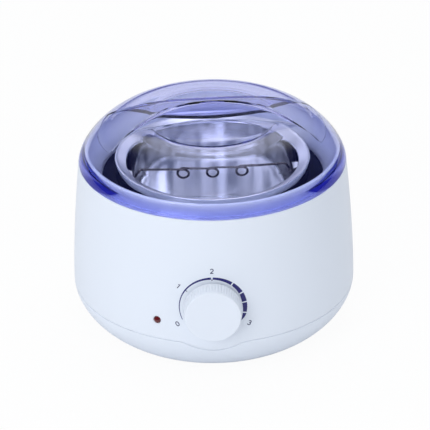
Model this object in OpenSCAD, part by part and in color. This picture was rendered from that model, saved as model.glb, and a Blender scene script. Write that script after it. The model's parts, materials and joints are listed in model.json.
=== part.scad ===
// Wax warmer: a white round housing with a dial at the front, a removable metal
// wax pot with a wire bar across its mouth, and a tinted see-through lid.
// Millimetres. +Z is up, the dial faces -Y, the origin is on the table under the axis.

/* [Body] */
// Room between the heat shield and the outside of the body
wall_room = 23.3; // [22:0.1:30]
// Height of the largest radius above the table
belly_z = 29; // [26:0.5:31]
// How far the wall draws in from the belly to the lid's ledge
wall_taper = 5.7; // [3:0.1:8]
// Height of the base's underside above the table
foot_gap = 1.5; // [1:0.1:2.5]
// Height scale of the curve under the belly
under_h = 34; // [32:0.5:40]
// Inward depth of the curve under the belly
under_d = 41.7; // [38:0.1:44]
// Thickness of the plastic wall
wall_t = 2.6; // [2:0.1:3.2]
// Height of the seam between housing and base
seam_z = 28.3; // [26:0.1:30]
// Width of the seam
seam_gap = 0.3; // [0.2:0.05:0.6]
// Radius of the tongue that the seam dips around, below the dial
tongue_r = 30.4; // [29:0.1:33]

/* [Rim and funnel] */
// Width of the ledge that the lid rests on
ledge_w = 5.3; // [4.8:0.1:6]
// Thickness of the upstand that centres the lid
upstand_t = 1.6; // [1.4:0.1:1.8]
// Height of the upstand above the ledge
upstand_h = 6; // [5:0.1:6.2]
// Height of the funnel's rim above the ledge
rim_h = 8; // [7.8:0.1:8.6]
// Height of the funnel from its foot to its rim
funnel_h = 19.3; // [18:0.1:20]
// Width of the dark gap between the pot and the funnel
gap_w = 8.6; // [7:0.1:9]
// Height of the straight lip at the funnel's foot
funnel_lip_h = 3.2; // [2.5:0.1:4]
// Thickness of the funnel
funnel_t = 2.2; // [1.8:0.1:2.4]

/* [Wax pot] */
// Inner radius of the pot
pot_r = 54; // [50:0.1:58]
// Thickness of the pot's wall
pot_t = 1.4; // [1:0.1:1.6]
// Height of the pot's bottom above the table
pot_bottom_z = 48; // [46:0.1:52]
// Height of the pot, from its bottom to the crest of its rim
pot_h = 65; // [60:0.1:75]
// Height of the rim's crest above the lid's ledge
pot_rise = 1.7; // [1.2:0.1:2.2]
// Width of the dished rim, from the pot's mouth to its crest
dish_w = 6.4; // [6:0.1:7]
// Rise of the dished rim
dish_rise = 2.6; // [2:0.1:3]
// Depth of the rim's turned-down edge
pot_lip_h = 4.8; // [3.5:0.1:4.8]
// Thickness of the rim's turned-down edge
pot_lip_t = 1; // [0.8:0.1:1.4]
// Radius of the corner between the pot's wall and bottom
pot_corner_r = 9; // [5:0.5:14]
// Turn of the pot and lid about the vertical axis
pot_turn = 5; // [0:0.5:12]

/* [Wire bar] */
// Diameter of the wire
wire_d = 1.6; // [1.4:0.1:2.2]
// How far the bar's bends sit in from its legs
bar_bend = 2.7; // [1.7:0.1:5.2]
// Height of the bar above its pivots
bar_rise = 5; // [4:0.1:6]
// Height of the pivots below the crest of the pot's rim
pivot_drop = 13.5; // [12.5:0.1:15]
// Radius of a ring in the wire, at the middle of the wire
ring_r = 3.5; // [2.6:0.1:4]
// Distance between the rings
ring_pitch = 18.6; // [16:0.1:21]
// Length of the pivot lugs along the wall
lug_w = 7; // [6:0.5:9]
// Depth of the pivot lugs
lug_t = 3.2; // [2.8:0.1:4]

/* [Lid] */
// How far the lid's foot sits in from the outside of the body
lid_edge = 0.1; // [0:0.05:0.5]
// Gap between the lid and the upstand
lid_gap = 0.4; // [0.3:0.05:0.6]
// Thickness of the lid
lid_t = 2; // [1.6:0.1:2.1]
// Width of the lid's rounded shoulder
crown_w = 31.6; // [28:0.1:35]
// Height of the flat top above the lid's foot
lid_top_h = 28.2; // [27:0.1:31]
// Radius of the shallow dish in the flat top, which the handle bridges
dish_r = 40.8; // [38:0.1:44]
// Depth of that dish
dish_h = 0.8; // [0.4:0.1:0.9]
// Height of the handle's middle above the lid's foot
handle_h = 40.7; // [38:0.1:44]
// Half width of the handle at its middle
handle_half_w = 3.2; // [3:0.1:5]
// Radius of the hollowed sides of the handle
handle_side_r = 100; // [90:1:120]
// How far the handle's sides spread from its top to its foot
handle_draft = 1.7; // [1:0.1:2.5]
// Distance from the edge of the lid's foot to the handle's ends
handle_edge = 16.6; // [15.6:0.1:20.6]

/* [Dial] */
// Height of the knob's axis above the table
knob_z = 53; // [50:0.1:56]
// Radius of the knob's face
knob_r = 17; // [15:0.1:19]
// How much wider the knob is at its back
knob_flare = 1.3; // [0.8:0.1:2]
// Length of the knob
knob_len = 9.8; // [8:0.1:12]
// Gap between the knob and the housing where the wall is widest behind it
knob_gap = 0.5; // [0.4:0.05:1]
// Wall thickness of the knob
knob_t = 1.8; // [1.4:0.1:2.4]
// Number of grooves around the knob
groove_count = 60; // [36:1:72]
// Width of a groove
groove_w = 0.7; // [0.5:0.05:0.9]
// Depth of a groove
groove_d = 0.35; // [0.2:0.05:0.5]
// Radius of the control shaft
shaft_r = 3; // [2.5:0.1:3.5]

/* [Lamp] */
// Turn of the indicator lamp from the dial
lamp_angle = 22.6; // [21:0.1:30]
// Height of the indicator lamp
lamp_z = 41.5; // [38:0.1:46]
// Radius of the indicator's lens
lens_r = 2.35; // [2:0.05:3]

/* [Heater] */
// Gap between the pot and the heater well
well_gap = 0.8; // [0.6:0.05:1]
// Thickness of the heater well
well_t = 1.2; // [1:0.1:1.4]
// Height of the heater band
band_h = 34; // [24:0.5:36]
// Thickness of the heater band
band_t = 2.8; // [2:0.1:3]
// Gap between the clamp strap and the heat shield
shield_gap = 5.4; // [5:0.1:7]
// Room between the well's floor and the heat shield's floor
fuse_room = 7.4; // [7:0.1:8]
// Thickness of the heat shield
shield_t = 0.6; // [0.5:0.1:0.8]

/* [Fasteners and feet] */
// Plastic left outside a base screw's recess
screw_edge = 1.7; // [1.2:0.1:3]
// Radius of the screw bosses
boss_r = 4.5; // [4:0.1:5]
// Radius of a screw's thread
screw_r = 1.5; // [1.3:0.05:1.7]
// Radius of a screw's head
screw_head_r = 2.9; // [2.5:0.1:3.3]
// Radius of a rubber foot
foot_r = 6.5; // [5:0.1:8]
// Distance from a foot to the edge of the base's underside
foot_edge = 3.5; // [2.5:0.1:6]
// Radius of the cord's passage through the rear gland
gland_bore_r = 3.4; // [3:0.1:3.8]
// Height of the rear gland above the table
gland_z = 45; // [43:0.5:50]

/* [Hidden] */

$fn = 96;
fine = 24;
step_z = 2.5;
eps = 0.01;

// Radii from the pot outwards: well, band, strap, shield and body
pot_out_r = pot_r + pot_t;
well_r = pot_out_r + well_gap;
well_out_r = well_r + well_t;
band_r = well_out_r + 0.1;
band_out_r = band_r + band_t;
clamp_t = 0.8;
shield_r = band_out_r + clamp_t + shield_gap;
shield_flange_r = shield_r + 5;
body_r = shield_r + shield_t + wall_room;

// Heights of the pot's rim and of the ledge that the lid rests on
pot_top_z = pot_bottom_z + pot_h;
ledge_z = pot_top_z - pot_rise;

// Wall of the body
taper_power = 1.57;
under_power = 1.75;
function under_wall(z) = let (t = pow((belly_z - z) / under_h, under_power))
    body_r - under_d * (1 - pow(1 - t, 1 / under_power));
function over_wall(z) = body_r - wall_taper * pow((z - belly_z) / (ledge_z - belly_z), taper_power);
function wall_r(z) = z < belly_z ? under_wall(z) : over_wall(z);
function heights(low, high) = let (n = ceil((high - low) / step_z))
    [for (i = [0 : n]) low + (high - low) * i / n];
function wall_line(low, high, inset) = [for (z = heights(low, high)) [wall_r(z) - inset, z]];
function reversed(list) = [for (i = [len(list) - 1 : -1 : 0]) list[i]];

// Rim and funnel
ledge_r = wall_r(ledge_z);
rim_z = ledge_z + rim_h;
upstand_z = ledge_z + upstand_h;
upstand_r = ledge_r - ledge_w;
upstand_in_r = upstand_r - upstand_t;
upstand_fit = 0.2;
ledge_rib = 2;
rim_round = 1.4;
rim_ease = 0.4;
funnel_ease = 0.4;

// Pot, well and what is around them
crest_r = pot_r + dish_w;
pot_lip_r = crest_r + pot_lip_t;
mouth_z = pot_top_z - dish_rise;
mouth_ease = 0.8;
seat_w = 2.2;
seat_z = mouth_z - 1.2;
rim_thick = 2;
well_floor_z = pot_bottom_z - well_gap;
well_flange_r = crest_r - 0.6;
well_corner = 2;
ring_neck_z = seat_z - well_t;
ring_clear = 0.5;
ring_disc_t = 4;
ring_neck_r = well_flange_r + 0.4;
ring_ease = 1;
funnel_r = pot_lip_r + gap_w;
funnel_foot_z = rim_z - funnel_h;
funnel_lip_z = funnel_foot_z + funnel_lip_h;
ring_base_z = funnel_foot_z - ring_disc_t;
ring_boss_r = 2.9;
ring_screw_pcr = funnel_r + funnel_t + ring_boss_r - 0.3;
ring_disc_r = ring_screw_pcr + 2.2;
ring_boss_h = 5.5;
ring_screw_turns = [45, 135, 225, 315];
band_z = well_floor_z + 7;
band_slot = 9;
clamp_h = 20;
clamp_z = band_z + (band_h - clamp_h) / 2;
clamp_ear_t = 1.2;
clamp_ear_len = clamp_t + shield_gap - 0.7;
clamp_bolt_y = band_out_r + clamp_t + 2.1;
clamp_bolt_r = 1.3;
shield_z = well_floor_z - well_t - fuse_room - shield_t;
lead_r = 1.1;
lead_clear = 0.6;
lead_ring_r = band_out_r + clamp_t + lead_r + 0.4;
terminal_turns = [-38, 218];
terminal_w = 5;
terminal_h = 4;

// Thermal fuse under the well
fuse_r = 2;
fuse_len = 13;
fuse_tip = 2;
fuse_z = well_floor_z - well_t - fuse_r - 0.2;
fuse_clip_w = 8;
fuse_clip_t = 0.7;
fuse_foot_d = 16;
fuse_lead_x = 14;

// Control parts, along -Y from the well to the knob
wall_front = wall_r(knob_z);
thermostat_t = 11.5;
bracket_t = 1.5;
bracket_gap = 5;
bracket_y = bracket_gap + wall_t - wall_front;
bracket_w = 52;
bracket_h = 18;
bracket_screw_x = 20.5;
bracket_grip = 3.4;
thermostat_w = 26;
thermostat_h = 22;
bush_r = 4.5;
bush_clear = 0.1;
bush_len = 4.6;
nut_h = 2.4;
nut_r = 6.6;
tab_w = 4;
tab_t = 0.8;
tab_x = 6;
tab_drop = 5;
knob_wall_r = wall_r(max(belly_z, knob_z - knob_r - knob_flare));
knob_back_y = -(knob_wall_r + knob_gap);
knob_face_y = knob_back_y - knob_len;
knob_face_t = 2;
edge_h = 0.8;
edge_proud = 0.35;
hub_r = 5.4;
shaft_fit = 0.05;
shaft_flat = 2.2;
shaft_reach = 6.2;
spring_t = 0.5;
spring_len = 4;
shaft_hole_r = hub_r + 0.8;

// Lamp, along the radius that passes through its centre
lamp_wall_r = wall_r(lamp_z);
lamp_turn = -90 - lamp_angle;
lens_proud = 1.6;
lens_flange_r = 3.5;
lens_flange_t = 1.4;
lens_bore = 16;
holder_r = 4.3;
holder_len = 13;
bulb_r = 2.2;
bulb_len = 9;

// Rear gland
gland_wall_r = wall_r(gland_z);
gland_flange_r = 8;
gland_seat = gland_wall_r - 0.9;
gland_flange_t = 2.6;
gland_nose_r = 5.8;
gland_tip_r = 5;
gland_tip_y = -knob_face_y;
gland_neck_r = 6;
gland_in = 7.5;
gland_nut_r = 8.5;
gland_nut_t = 3;

// Base
base_floor_t = 2.6;
floor_top_z = foot_gap + base_floor_t;
screw_turns = [30, 150, 210, 330];
screw_head_h = 2;
head_fit = 0.3;
base_edge_r = wall_r(foot_gap);
screw_ring_r = base_edge_r - screw_edge - head_fit - screw_head_r;
foot_ring_r = base_edge_r - foot_edge - foot_r;
boss_foot_z = seam_z + 0.7;
boss_top_z = shield_z - 1;
base_grip = boss_top_z - boss_foot_z - 1.5;
rib_t = 2.4;
rib_in = 1;
rib_clear = 1.5;
rib_step = max(rib_in, shield_r + shield_t + rib_clear - screw_ring_r);
rib_top_z = boss_top_z + 15;
pilot_r = 1.25;
head_recess = 7;
foot_turns = [45, 135, 225, 315];
foot_pocket = 1.2;
vent_count = 20;
vent_w = 2.6;
vent_in_r = 24;
vent_out_r = 44;
lip_below = 3.6;
lip_z = knob_z - tongue_r - lip_below;
lip_r = wall_r(lip_z + 2.2) - wall_t - 0.2;
lip_t = 1.6;
lip_top_z = seam_z + 3.2;
rib_foot_z = lip_top_z + 0.5;
block_w = 36;
block_d = 14;
block_h = 12;
block_room = 6;
block_y = wall_r(floor_top_z) - wall_t - block_room - block_d;
block_screw_gap = 0.6;
terminal_bore_r = 2;
block_pitch = 11;
plate_w = 40;
plate_d = 20;
plate_t = 0.3;

// Leads
lead_sides = 8;
lead_side_x = 26;
lead_run = body_r / 3;
lead_low_z = floor_top_z + 10;
lead_drop_z = shield_z - 14;
lead_under_z = shield_z + shield_t + 2.6;
block_lead_z = floor_top_z + block_h / 2;
tab_y = bracket_y + bracket_t + thermostat_t / 2 + tab_t / 2;
tab_end_z = knob_z - thermostat_h / 2 - tab_drop;
terminal_foot_z = band_z - terminal_h;

// Lid
lid_foot_z = ledge_z;
lid_r = ledge_r - lid_edge;
lid_in_r = upstand_r + lid_gap;
lid_top_r = lid_r - crown_w;
lid_top_z = lid_foot_z + lid_top_h;
handle_end_r = lid_r - handle_edge;
handle_top_z = lid_foot_z + handle_h;
dish_edge = 1.4;
crown_power = 1.5;
ridge_power = 2.4;
ridge_end_drop = 19.25;
crown_steps = 28;
function crown_z(u, top_h) = lid_foot_z + top_h * pow(1 - pow(u, crown_power), 1 / crown_power);
function crown_line(inset) = [for (i = [0 : crown_steps])
    let (u = pow(i / crown_steps, 0.6))
    [lid_top_r + (lid_r - inset - lid_top_r) * u, crown_z(min(u, 1), lid_top_h - inset)]];
function ridge_line(inset) = [for (r = [0 : 4 : handle_end_r])
    [r, handle_top_z - inset - ridge_end_drop * pow(r / handle_end_r, ridge_power)]];

// Wire bar, along X in the pot's own frame
wire_r = wire_d / 2;
pivot_z = pot_top_z - pivot_drop;
pivot_hole_r = wire_r + 0.08;
pivot_tip = pot_r - 0.9;
wire_leg_x = pot_r - lug_t - wire_r - 0.7;
bar_half = wire_leg_x - bar_bend;
ring_shift = wire_d + 0.5;
ring_steps = 24;

// Solid of revolution between two heights of the body's wall
module wall_band(low, high, outset, inset) {
    rotate_extrude() polygon(concat(
        wall_line(low, high, -outset),
        reversed(wall_line(low, high, inset))));
}

// Everything inside a vertical cylinder through the knob's axis, along -Y
module tongue_zone(r) {
    translate([0, 0, knob_z]) rotate([90, 0, 0]) cylinder(r = r, h = body_r + 5);
}

// Cylinder along -Y at the knob's axis, from y = from_y to y = to_y
module along_y(r, from_y, to_y, sides = $fn) {
    translate([0, to_y, knob_z]) rotate([90, 0, 0])
        cylinder(r = r, h = to_y - from_y, $fn = sides);
}

module at_turns(turns, r) {
    for (a = turns) rotate(a) translate([r, 0, 0]) children();
}

// Upper shell with its ledge, upstand and bosses
module housing_shell() {
    color([0.91, 0.93, 0.97]) difference() {
        union() {
            difference() {
                wall_band(knob_z - tongue_r, ledge_z, 0, wall_t);
                difference() {
                    cylinder(r = body_r + 5, h = seam_z + seam_gap / 2);
                    tongue_zone(tongue_r);
                }
            }
            rotate_extrude() polygon([
                [ledge_r - wall_t / 2, ledge_z], [ledge_r - wall_t / 2, ledge_z - wall_t],
                [upstand_in_r, ledge_z - wall_t - ledge_rib], [upstand_in_r, upstand_z],
                [upstand_r, upstand_z], [upstand_r, ledge_z]]);
            housing_bosses();
            bracket_bosses();
        }
        at_turns(screw_turns, screw_ring_r)
            translate([0, 0, boss_foot_z - eps]) cylinder(r = pilot_r, h = base_grip + 0.5, $fn = fine);
        for (side = [-1, 1]) translate([side * bracket_screw_x, bracket_y + eps, knob_z])
            rotate([90, 0, 0]) cylinder(r = pilot_r, h = bracket_grip + 0.3, $fn = fine);
        along_y(shaft_hole_r, -body_r - 1, bracket_y - 4);
        rotate(lamp_turn) translate([lamp_wall_r - lens_bore / 2, 0, lamp_z])
            rotate([0, 90, 0]) cylinder(r = lens_r + 0.15, h = lens_bore, $fn = 48);
        translate([0, gland_wall_r + 4, gland_z]) rotate([90, 0, 0]) {
            cylinder(r = gland_neck_r + 0.15, h = 12, $fn = 48);
            cylinder(r = gland_flange_r + 0.2, h = gland_wall_r + 4 - gland_seat, $fn = 64);
        }
    }
}

module housing_bosses() {
    intersection() {
        at_turns(screw_turns, screw_ring_r) {
            translate([0, 0, boss_foot_z]) cylinder(r = boss_r, h = boss_top_z - boss_foot_z, $fn = 48);
            translate([rib_in, -rib_t / 2, rib_foot_z])
                cube([body_r - screw_ring_r, rib_t, boss_top_z - rib_foot_z]);
            translate([rib_step, -rib_t / 2, rib_foot_z])
                cube([body_r - screw_ring_r, rib_t, rib_top_z - rib_foot_z]);
        }
        rotate_extrude() polygon(concat([[0, boss_foot_z]],
            wall_line(boss_foot_z, rib_top_z, wall_t / 2), [[0, rib_top_z]]));
    }
}

// Two posts behind the dial that carry the thermostat's bracket
module bracket_bosses() {
    intersection() {
        for (side = [-1, 1]) translate([side * bracket_screw_x, bracket_y, knob_z])
            rotate([90, 0, 0]) cylinder(r = boss_r - 0.5, h = body_r, $fn = 48);
        wall_band(knob_z - 2 * boss_r, knob_z + 2 * boss_r, -wall_t / 2, body_r / 2);
    }
}

// Lower dish with floor, vents, feet pockets and screw posts
module base_cover() {
    color([0.90, 0.92, 0.96]) difference() {
        union() {
            difference() {
                rotate_extrude() polygon(concat([[0, foot_gap]],
                    wall_line(foot_gap, seam_z - seam_gap / 2, 0),
                    reversed(wall_line(floor_top_z, seam_z - seam_gap / 2, wall_t)),
                    [[0, floor_top_z]]));
                tongue_zone(tongue_r + seam_gap);
            }
            rotate_extrude() polygon([[lip_r - lip_t, lip_z], [lip_r, lip_z],
                [lip_r, lip_top_z], [lip_r - lip_t, lip_top_z]]);
            at_turns(screw_turns, screw_ring_r)
                translate([0, 0, floor_top_z - eps])
                    cylinder(r = boss_r, h = boss_foot_z - floor_top_z + eps, $fn = 48);
        }
        at_turns(screw_turns, screw_ring_r) {
            cylinder(r = screw_r + 0.2, h = boss_foot_z + 1, $fn = fine);
            cylinder(r = screw_head_r + head_fit, h = foot_gap + head_recess, $fn = 48);
        }
        at_turns(foot_turns, foot_ring_r) cylinder(r = foot_r + 0.1, h = foot_gap + foot_pocket, $fn = 64);
        for (i = [0 : vent_count - 1]) rotate(i * 360 / vent_count + 9)
            translate([vent_in_r, -vent_w / 2, 0])
                cube([vent_out_r - vent_in_r, vent_w, floor_top_z + 1]);
    }
}

// White funnel between the rim and the well
module funnel_ring() {
    color([0.93, 0.94, 0.98]) difference() {
        union() {
            rotate_extrude() polygon([
                [upstand_r, upstand_z], [upstand_r, rim_z - rim_round],
                [upstand_r - rim_ease, rim_z - rim_ease], [upstand_r - rim_round, rim_z],
                [upstand_r - rim_round - rim_ease, rim_z - rim_ease],
                [funnel_r + funnel_ease, funnel_lip_z], [funnel_r, funnel_lip_z - 2 * funnel_ease],
                [funnel_r, funnel_foot_z], [funnel_r + funnel_t, funnel_foot_z],
                [funnel_r + funnel_t, funnel_lip_z - funnel_ease],
                [upstand_in_r - upstand_fit, upstand_z - upstand_t],
                [upstand_in_r - upstand_fit, upstand_z]]);
            at_turns(ring_screw_turns, ring_screw_pcr)
                translate([0, 0, funnel_foot_z]) cylinder(r = ring_boss_r, h = ring_boss_h, $fn = 48);
        }
        at_turns(ring_screw_turns, ring_screw_pcr)
            translate([0, 0, funnel_foot_z - eps]) cylinder(r = pilot_r, h = ring_boss_h - 1, $fn = fine);
    }
}

// Black ring that carries the hot well inside the plastic housing
module insulating_ring() {
    color([0.06, 0.06, 0.07]) difference() {
        rotate_extrude() polygon([
            [well_out_r + ring_clear, ring_base_z], [ring_disc_r, ring_base_z],
            [ring_disc_r, funnel_foot_z], [ring_neck_r + ring_ease, funnel_foot_z],
            [ring_neck_r, funnel_foot_z + ring_ease], [ring_neck_r, ring_neck_z],
            [well_out_r + ring_clear, ring_neck_z]]);
        at_turns(ring_screw_turns, ring_screw_pcr)
            translate([0, 0, ring_base_z - 1]) cylinder(r = screw_r + 0.2, h = ring_disc_t + 2, $fn = fine);
    }
}

module heater_well() {
    color([0.72, 0.74, 0.78]) rotate_extrude() polygon([
        [0, well_floor_z - well_t], [well_out_r - well_corner, well_floor_z - well_t],
        [well_out_r, well_floor_z - well_t + well_corner], [well_out_r, ring_neck_z],
        [well_flange_r, ring_neck_z], [well_flange_r, seat_z],
        [well_r, seat_z], [well_r, well_floor_z], [0, well_floor_z]]);
}

module heater_band() {
    color([0.62, 0.58, 0.50]) difference() {
        translate([0, 0, band_z]) cylinder(r = band_out_r, h = band_h);
        translate([0, 0, band_z - 1]) cylinder(r = band_r, h = band_h + 2);
        translate([-band_slot / 2, 0, band_z - 1]) cube([band_slot, band_out_r + 2, band_h + 2]);
    }
}

// Steel strap with two ears, drawn tight around the band
module band_clamp() {
    color([0.60, 0.62, 0.65]) difference() {
        union() {
            difference() {
                translate([0, 0, clamp_z]) cylinder(r = band_out_r + clamp_t, h = clamp_h);
                translate([0, 0, clamp_z - 1]) cylinder(r = band_out_r, h = clamp_h + 2);
                translate([-band_slot / 2, 0, clamp_z - 1])
                    cube([band_slot, band_out_r + 3, clamp_h + 2]);
            }
            for (side = [0, 1]) mirror([side, 0, 0])
                translate([band_slot / 2 - clamp_ear_t, band_out_r, clamp_z])
                    cube([clamp_ear_t + 0.4, clamp_ear_len, clamp_h]);
        }
        for (z = [0.25, 0.75]) translate([-band_slot, clamp_bolt_y, clamp_z + z * clamp_h])
            rotate([0, 90, 0]) cylinder(r = clamp_bolt_r + 0.15, h = 2 * band_slot, $fn = fine);
    }
}

module band_bolts() {
    color([0.70, 0.71, 0.74]) for (z = [0.25, 0.75])
        translate([0, clamp_bolt_y, clamp_z + z * clamp_h]) rotate([0, 90, 0]) {
            translate([0, 0, -band_slot / 2 - 1.5]) cylinder(r = clamp_bolt_r, h = band_slot + 3, $fn = fine);
            for (side = [0, 1]) mirror([0, 0, side])
                translate([0, 0, band_slot / 2 + 0.4]) cylinder(r = 2.2, h = 1.6, $fn = 6);
        }
}

module heater_terminals() {
    color([0.82, 0.66, 0.32]) for (a = terminal_turns) rotate(a)
        translate([band_r + band_t / 4, -terminal_w / 2, band_z - terminal_h])
            cube([lead_ring_r - band_r, terminal_w, terminal_h]);
}

// Thin steel cup that keeps the heat off the plastic
module heat_shield() {
    color([0.66, 0.68, 0.70]) difference() {
        rotate_extrude() polygon([
            [0, shield_z], [shield_r + shield_t, shield_z],
            [shield_r + shield_t, ring_base_z - shield_t], [shield_flange_r, ring_base_z - shield_t],
            [shield_flange_r, ring_base_z], [shield_r, ring_base_z],
            [shield_r, shield_z + shield_t], [0, shield_z + shield_t]]);
        at_turns(terminal_turns, lead_ring_r)
            translate([0, 0, shield_z - 1]) cylinder(r = lead_r + lead_clear, h = 3, $fn = fine);
        translate([fuse_lead_x, 0, shield_z - 1]) cylinder(r = lead_r + lead_clear, h = 3, $fn = fine);
    }
}

// Thermal fuse held against the well's floor
module thermal_fuse() {
    color([0.80, 0.80, 0.78]) translate([0, 0, fuse_z]) rotate([0, 90, 0]) {
        translate([0, 0, -fuse_len / 2]) cylinder(r = fuse_r, h = fuse_len, $fn = 48);
        translate([0, 0, fuse_len / 2]) cylinder(r1 = fuse_r, r2 = 0.8, h = fuse_tip, $fn = 48);
    }
}

module fuse_clip() {
    color([0.60, 0.62, 0.65]) difference() {
        union() {
            translate([-fuse_clip_w / 2, 0, fuse_z]) rotate([0, 90, 0])
                cylinder(r = fuse_r + fuse_clip_t + 0.1, h = fuse_clip_w, $fn = 48);
            translate([-fuse_clip_w / 2, -fuse_foot_d / 2, well_floor_z - well_t - fuse_clip_t])
                cube([fuse_clip_w, fuse_foot_d, fuse_clip_t]);
        }
        translate([-fuse_clip_w, 0, fuse_z]) rotate([0, 90, 0])
            cylinder(r = fuse_r + 0.1, h = 2 * fuse_clip_w, $fn = 48);
        translate([-fuse_clip_w, -10, well_floor_z - well_t]) cube([2 * fuse_clip_w, 20, 10]);
    }
}

// Rotary thermostat with its threaded bush
module thermostat_body() {
    color([0.88, 0.86, 0.80]) difference() {
        union() {
            translate([-thermostat_w / 2, bracket_y + bracket_t, knob_z - thermostat_h / 2])
                cube([thermostat_w, thermostat_t, thermostat_h]);
            along_y(bush_r, bracket_y - bush_len, bracket_y + bracket_t + 1);
        }
        along_y(shaft_r + shaft_fit, bracket_y - bush_len - 1, bracket_y + bracket_t + shaft_reach);
    }
}

module thermostat_tabs() {
    color([0.82, 0.66, 0.32]) for (side = [-1, 1])
        translate([side * tab_x - tab_w / 2, bracket_y + bracket_t + thermostat_t / 2,
            knob_z - thermostat_h / 2 - tab_drop])
            cube([tab_w, tab_t, tab_drop]);
}

module thermostat_bracket() {
    color([0.64, 0.66, 0.68]) difference() {
        translate([-bracket_w / 2, bracket_y, knob_z - bracket_h / 2])
            cube([bracket_w, bracket_t, bracket_h]);
        along_y(bush_r + bush_clear, bracket_y - 1, bracket_y + bracket_t + 1);
        for (side = [-1, 1]) translate([side * bracket_screw_x, bracket_y + 5, knob_z])
            rotate([90, 0, 0]) cylinder(r = screw_r + 0.1, h = 10, $fn = fine);
    }
}

module thermostat_nut() {
    color([0.70, 0.71, 0.74]) difference() {
        along_y(nut_r, bracket_y - nut_h, bracket_y, 6);
        along_y(bush_r + bush_clear, bracket_y - nut_h - 1, bracket_y + 1);
    }
}

// Control shaft with a flat at its front end
module thermostat_shaft() {
    color([0.74, 0.75, 0.78]) difference() {
        along_y(shaft_r, knob_face_y + knob_face_t + 0.3, bracket_y + bracket_t + shaft_reach - 0.2);
        translate([-shaft_r, knob_face_y, knob_z + shaft_flat])
            cube([2 * shaft_r, knob_len, shaft_r]);
    }
}

// Hollow knob with a grooved side and a hub for the shaft
module knob() {
    color([0.93, 0.95, 0.98]) difference() {
        union() {
            difference() {
                translate([0, knob_back_y, knob_z]) rotate([90, 0, 0]) {
                    cylinder(r1 = knob_r + knob_flare, r2 = knob_r + edge_proud, h = knob_len - edge_h);
                    translate([0, 0, knob_len - edge_h])
                        cylinder(r1 = knob_r + edge_proud, r2 = knob_r - 0.5, h = edge_h);
                }
                along_y(knob_r - knob_t, knob_face_y + knob_face_t, knob_back_y + 1);
                for (i = [1 : groove_count]) knob_groove(i * 360 / groove_count);
            }
            along_y(hub_r, knob_face_y + knob_face_t - eps, knob_back_y);
        }
        difference() {
            along_y(shaft_r + shaft_fit, knob_face_y + knob_face_t, knob_back_y + 1);
            translate([-shaft_r, knob_face_y, knob_z + shaft_flat + shaft_fit])
                cube([2 * shaft_r, 2 * knob_len, shaft_r]);
        }
        knob_spring_space(0.05);
    }
}

module knob_groove(turn) {
    translate([0, knob_back_y, knob_z]) rotate([0, -turn, 0])
        rotate([atan((knob_flare - edge_proud) / (knob_len - edge_h)), 0, 0])
            translate([-groove_w / 2, -knob_len + 1.6, knob_r + knob_flare - groove_d])
                cube([groove_w, knob_len, 2]);
}

// Ring groove around the hub, where the spring clip sits
module knob_spring_space(clear) {
    difference() {
        along_y(hub_r + 1, knob_back_y - spring_len - clear - 0.6, knob_back_y - 0.6 + clear);
        along_y(hub_r - spring_t - clear, knob_back_y - spring_len - 2, knob_back_y + 1);
    }
}

module knob_spring() {
    color([0.70, 0.71, 0.74]) difference() {
        along_y(hub_r, knob_back_y - spring_len - 0.6, knob_back_y - 0.6);
        along_y(hub_r - spring_t, knob_back_y - spring_len - 2, knob_back_y + 1);
        translate([-1, knob_back_y - knob_len, knob_z - hub_r - 1]) cube([2, knob_len + 1, hub_r]);
    }
}

module indicator_lens() {
    color([0.45, 0.03, 0.05]) rotate(lamp_turn) translate([0, 0, lamp_z]) rotate([0, 90, 0]) {
        translate([0, 0, lamp_wall_r - wall_t - lens_flange_t])
            cylinder(r = lens_r, h = wall_t + lens_flange_t + lens_proud - lens_r, $fn = 48);
        translate([0, 0, lamp_wall_r + lens_proud - lens_r]) sphere(r = lens_r, $fn = 48);
        translate([0, 0, lamp_wall_r - wall_t - lens_flange_t - 0.3])
            cylinder(r = lens_flange_r, h = lens_flange_t, $fn = 48);
    }
}

module lamp_holder() {
    color([0.15, 0.15, 0.16]) rotate(lamp_turn)
        translate([lamp_wall_r - wall_t - lens_flange_t - 0.3 - holder_len, 0, lamp_z])
            rotate([0, 90, 0]) difference() {
                cylinder(r = holder_r, h = holder_len, $fn = 48);
                translate([0, 0, 2]) cylinder(r = bulb_r + 0.1, h = holder_len, $fn = 48);
            }
}

module indicator_lamp() {
    color([0.95, 0.55, 0.30]) rotate(lamp_turn)
        translate([lamp_wall_r - wall_t - lens_flange_t - 0.3 - holder_len + 2, 0, lamp_z])
            rotate([0, 90, 0]) {
                cylinder(r = bulb_r, h = bulb_len - bulb_r, $fn = 48);
                translate([0, 0, bulb_len - bulb_r]) sphere(r = bulb_r, $fn = 48);
            }
}

// Rear gland for the mains cord
module cord_gland() {
    color([0.90, 0.92, 0.96]) translate([0, 0, gland_z]) rotate([-90, 0, 0]) difference() {
        union() {
            translate([0, 0, gland_seat]) cylinder(r = gland_flange_r, h = gland_flange_t, $fn = 64);
            translate([0, 0, gland_seat + gland_flange_t])
                cylinder(r1 = gland_nose_r, r2 = gland_tip_r,
                    h = gland_tip_y - gland_seat - gland_flange_t, $fn = 64);
            translate([0, 0, gland_seat - gland_in]) cylinder(r = gland_neck_r, h = gland_in, $fn = 64);
        }
        translate([0, 0, gland_seat - gland_in - 1])
            cylinder(r = gland_bore_r, h = gland_in + gland_tip_y, $fn = 64);
    }
}

module gland_nut() {
    color([0.86, 0.88, 0.92]) translate([0, 0, gland_z]) rotate([-90, 0, 0]) difference() {
        translate([0, 0, gland_wall_r - wall_t - gland_nut_t - 0.5])
            cylinder(r = gland_nut_r, h = gland_nut_t, $fn = 6);
        translate([0, 0, gland_wall_r - wall_t - 20])
            cylinder(r = gland_neck_r + 0.05, h = 30, $fn = 64);
    }
}

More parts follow.
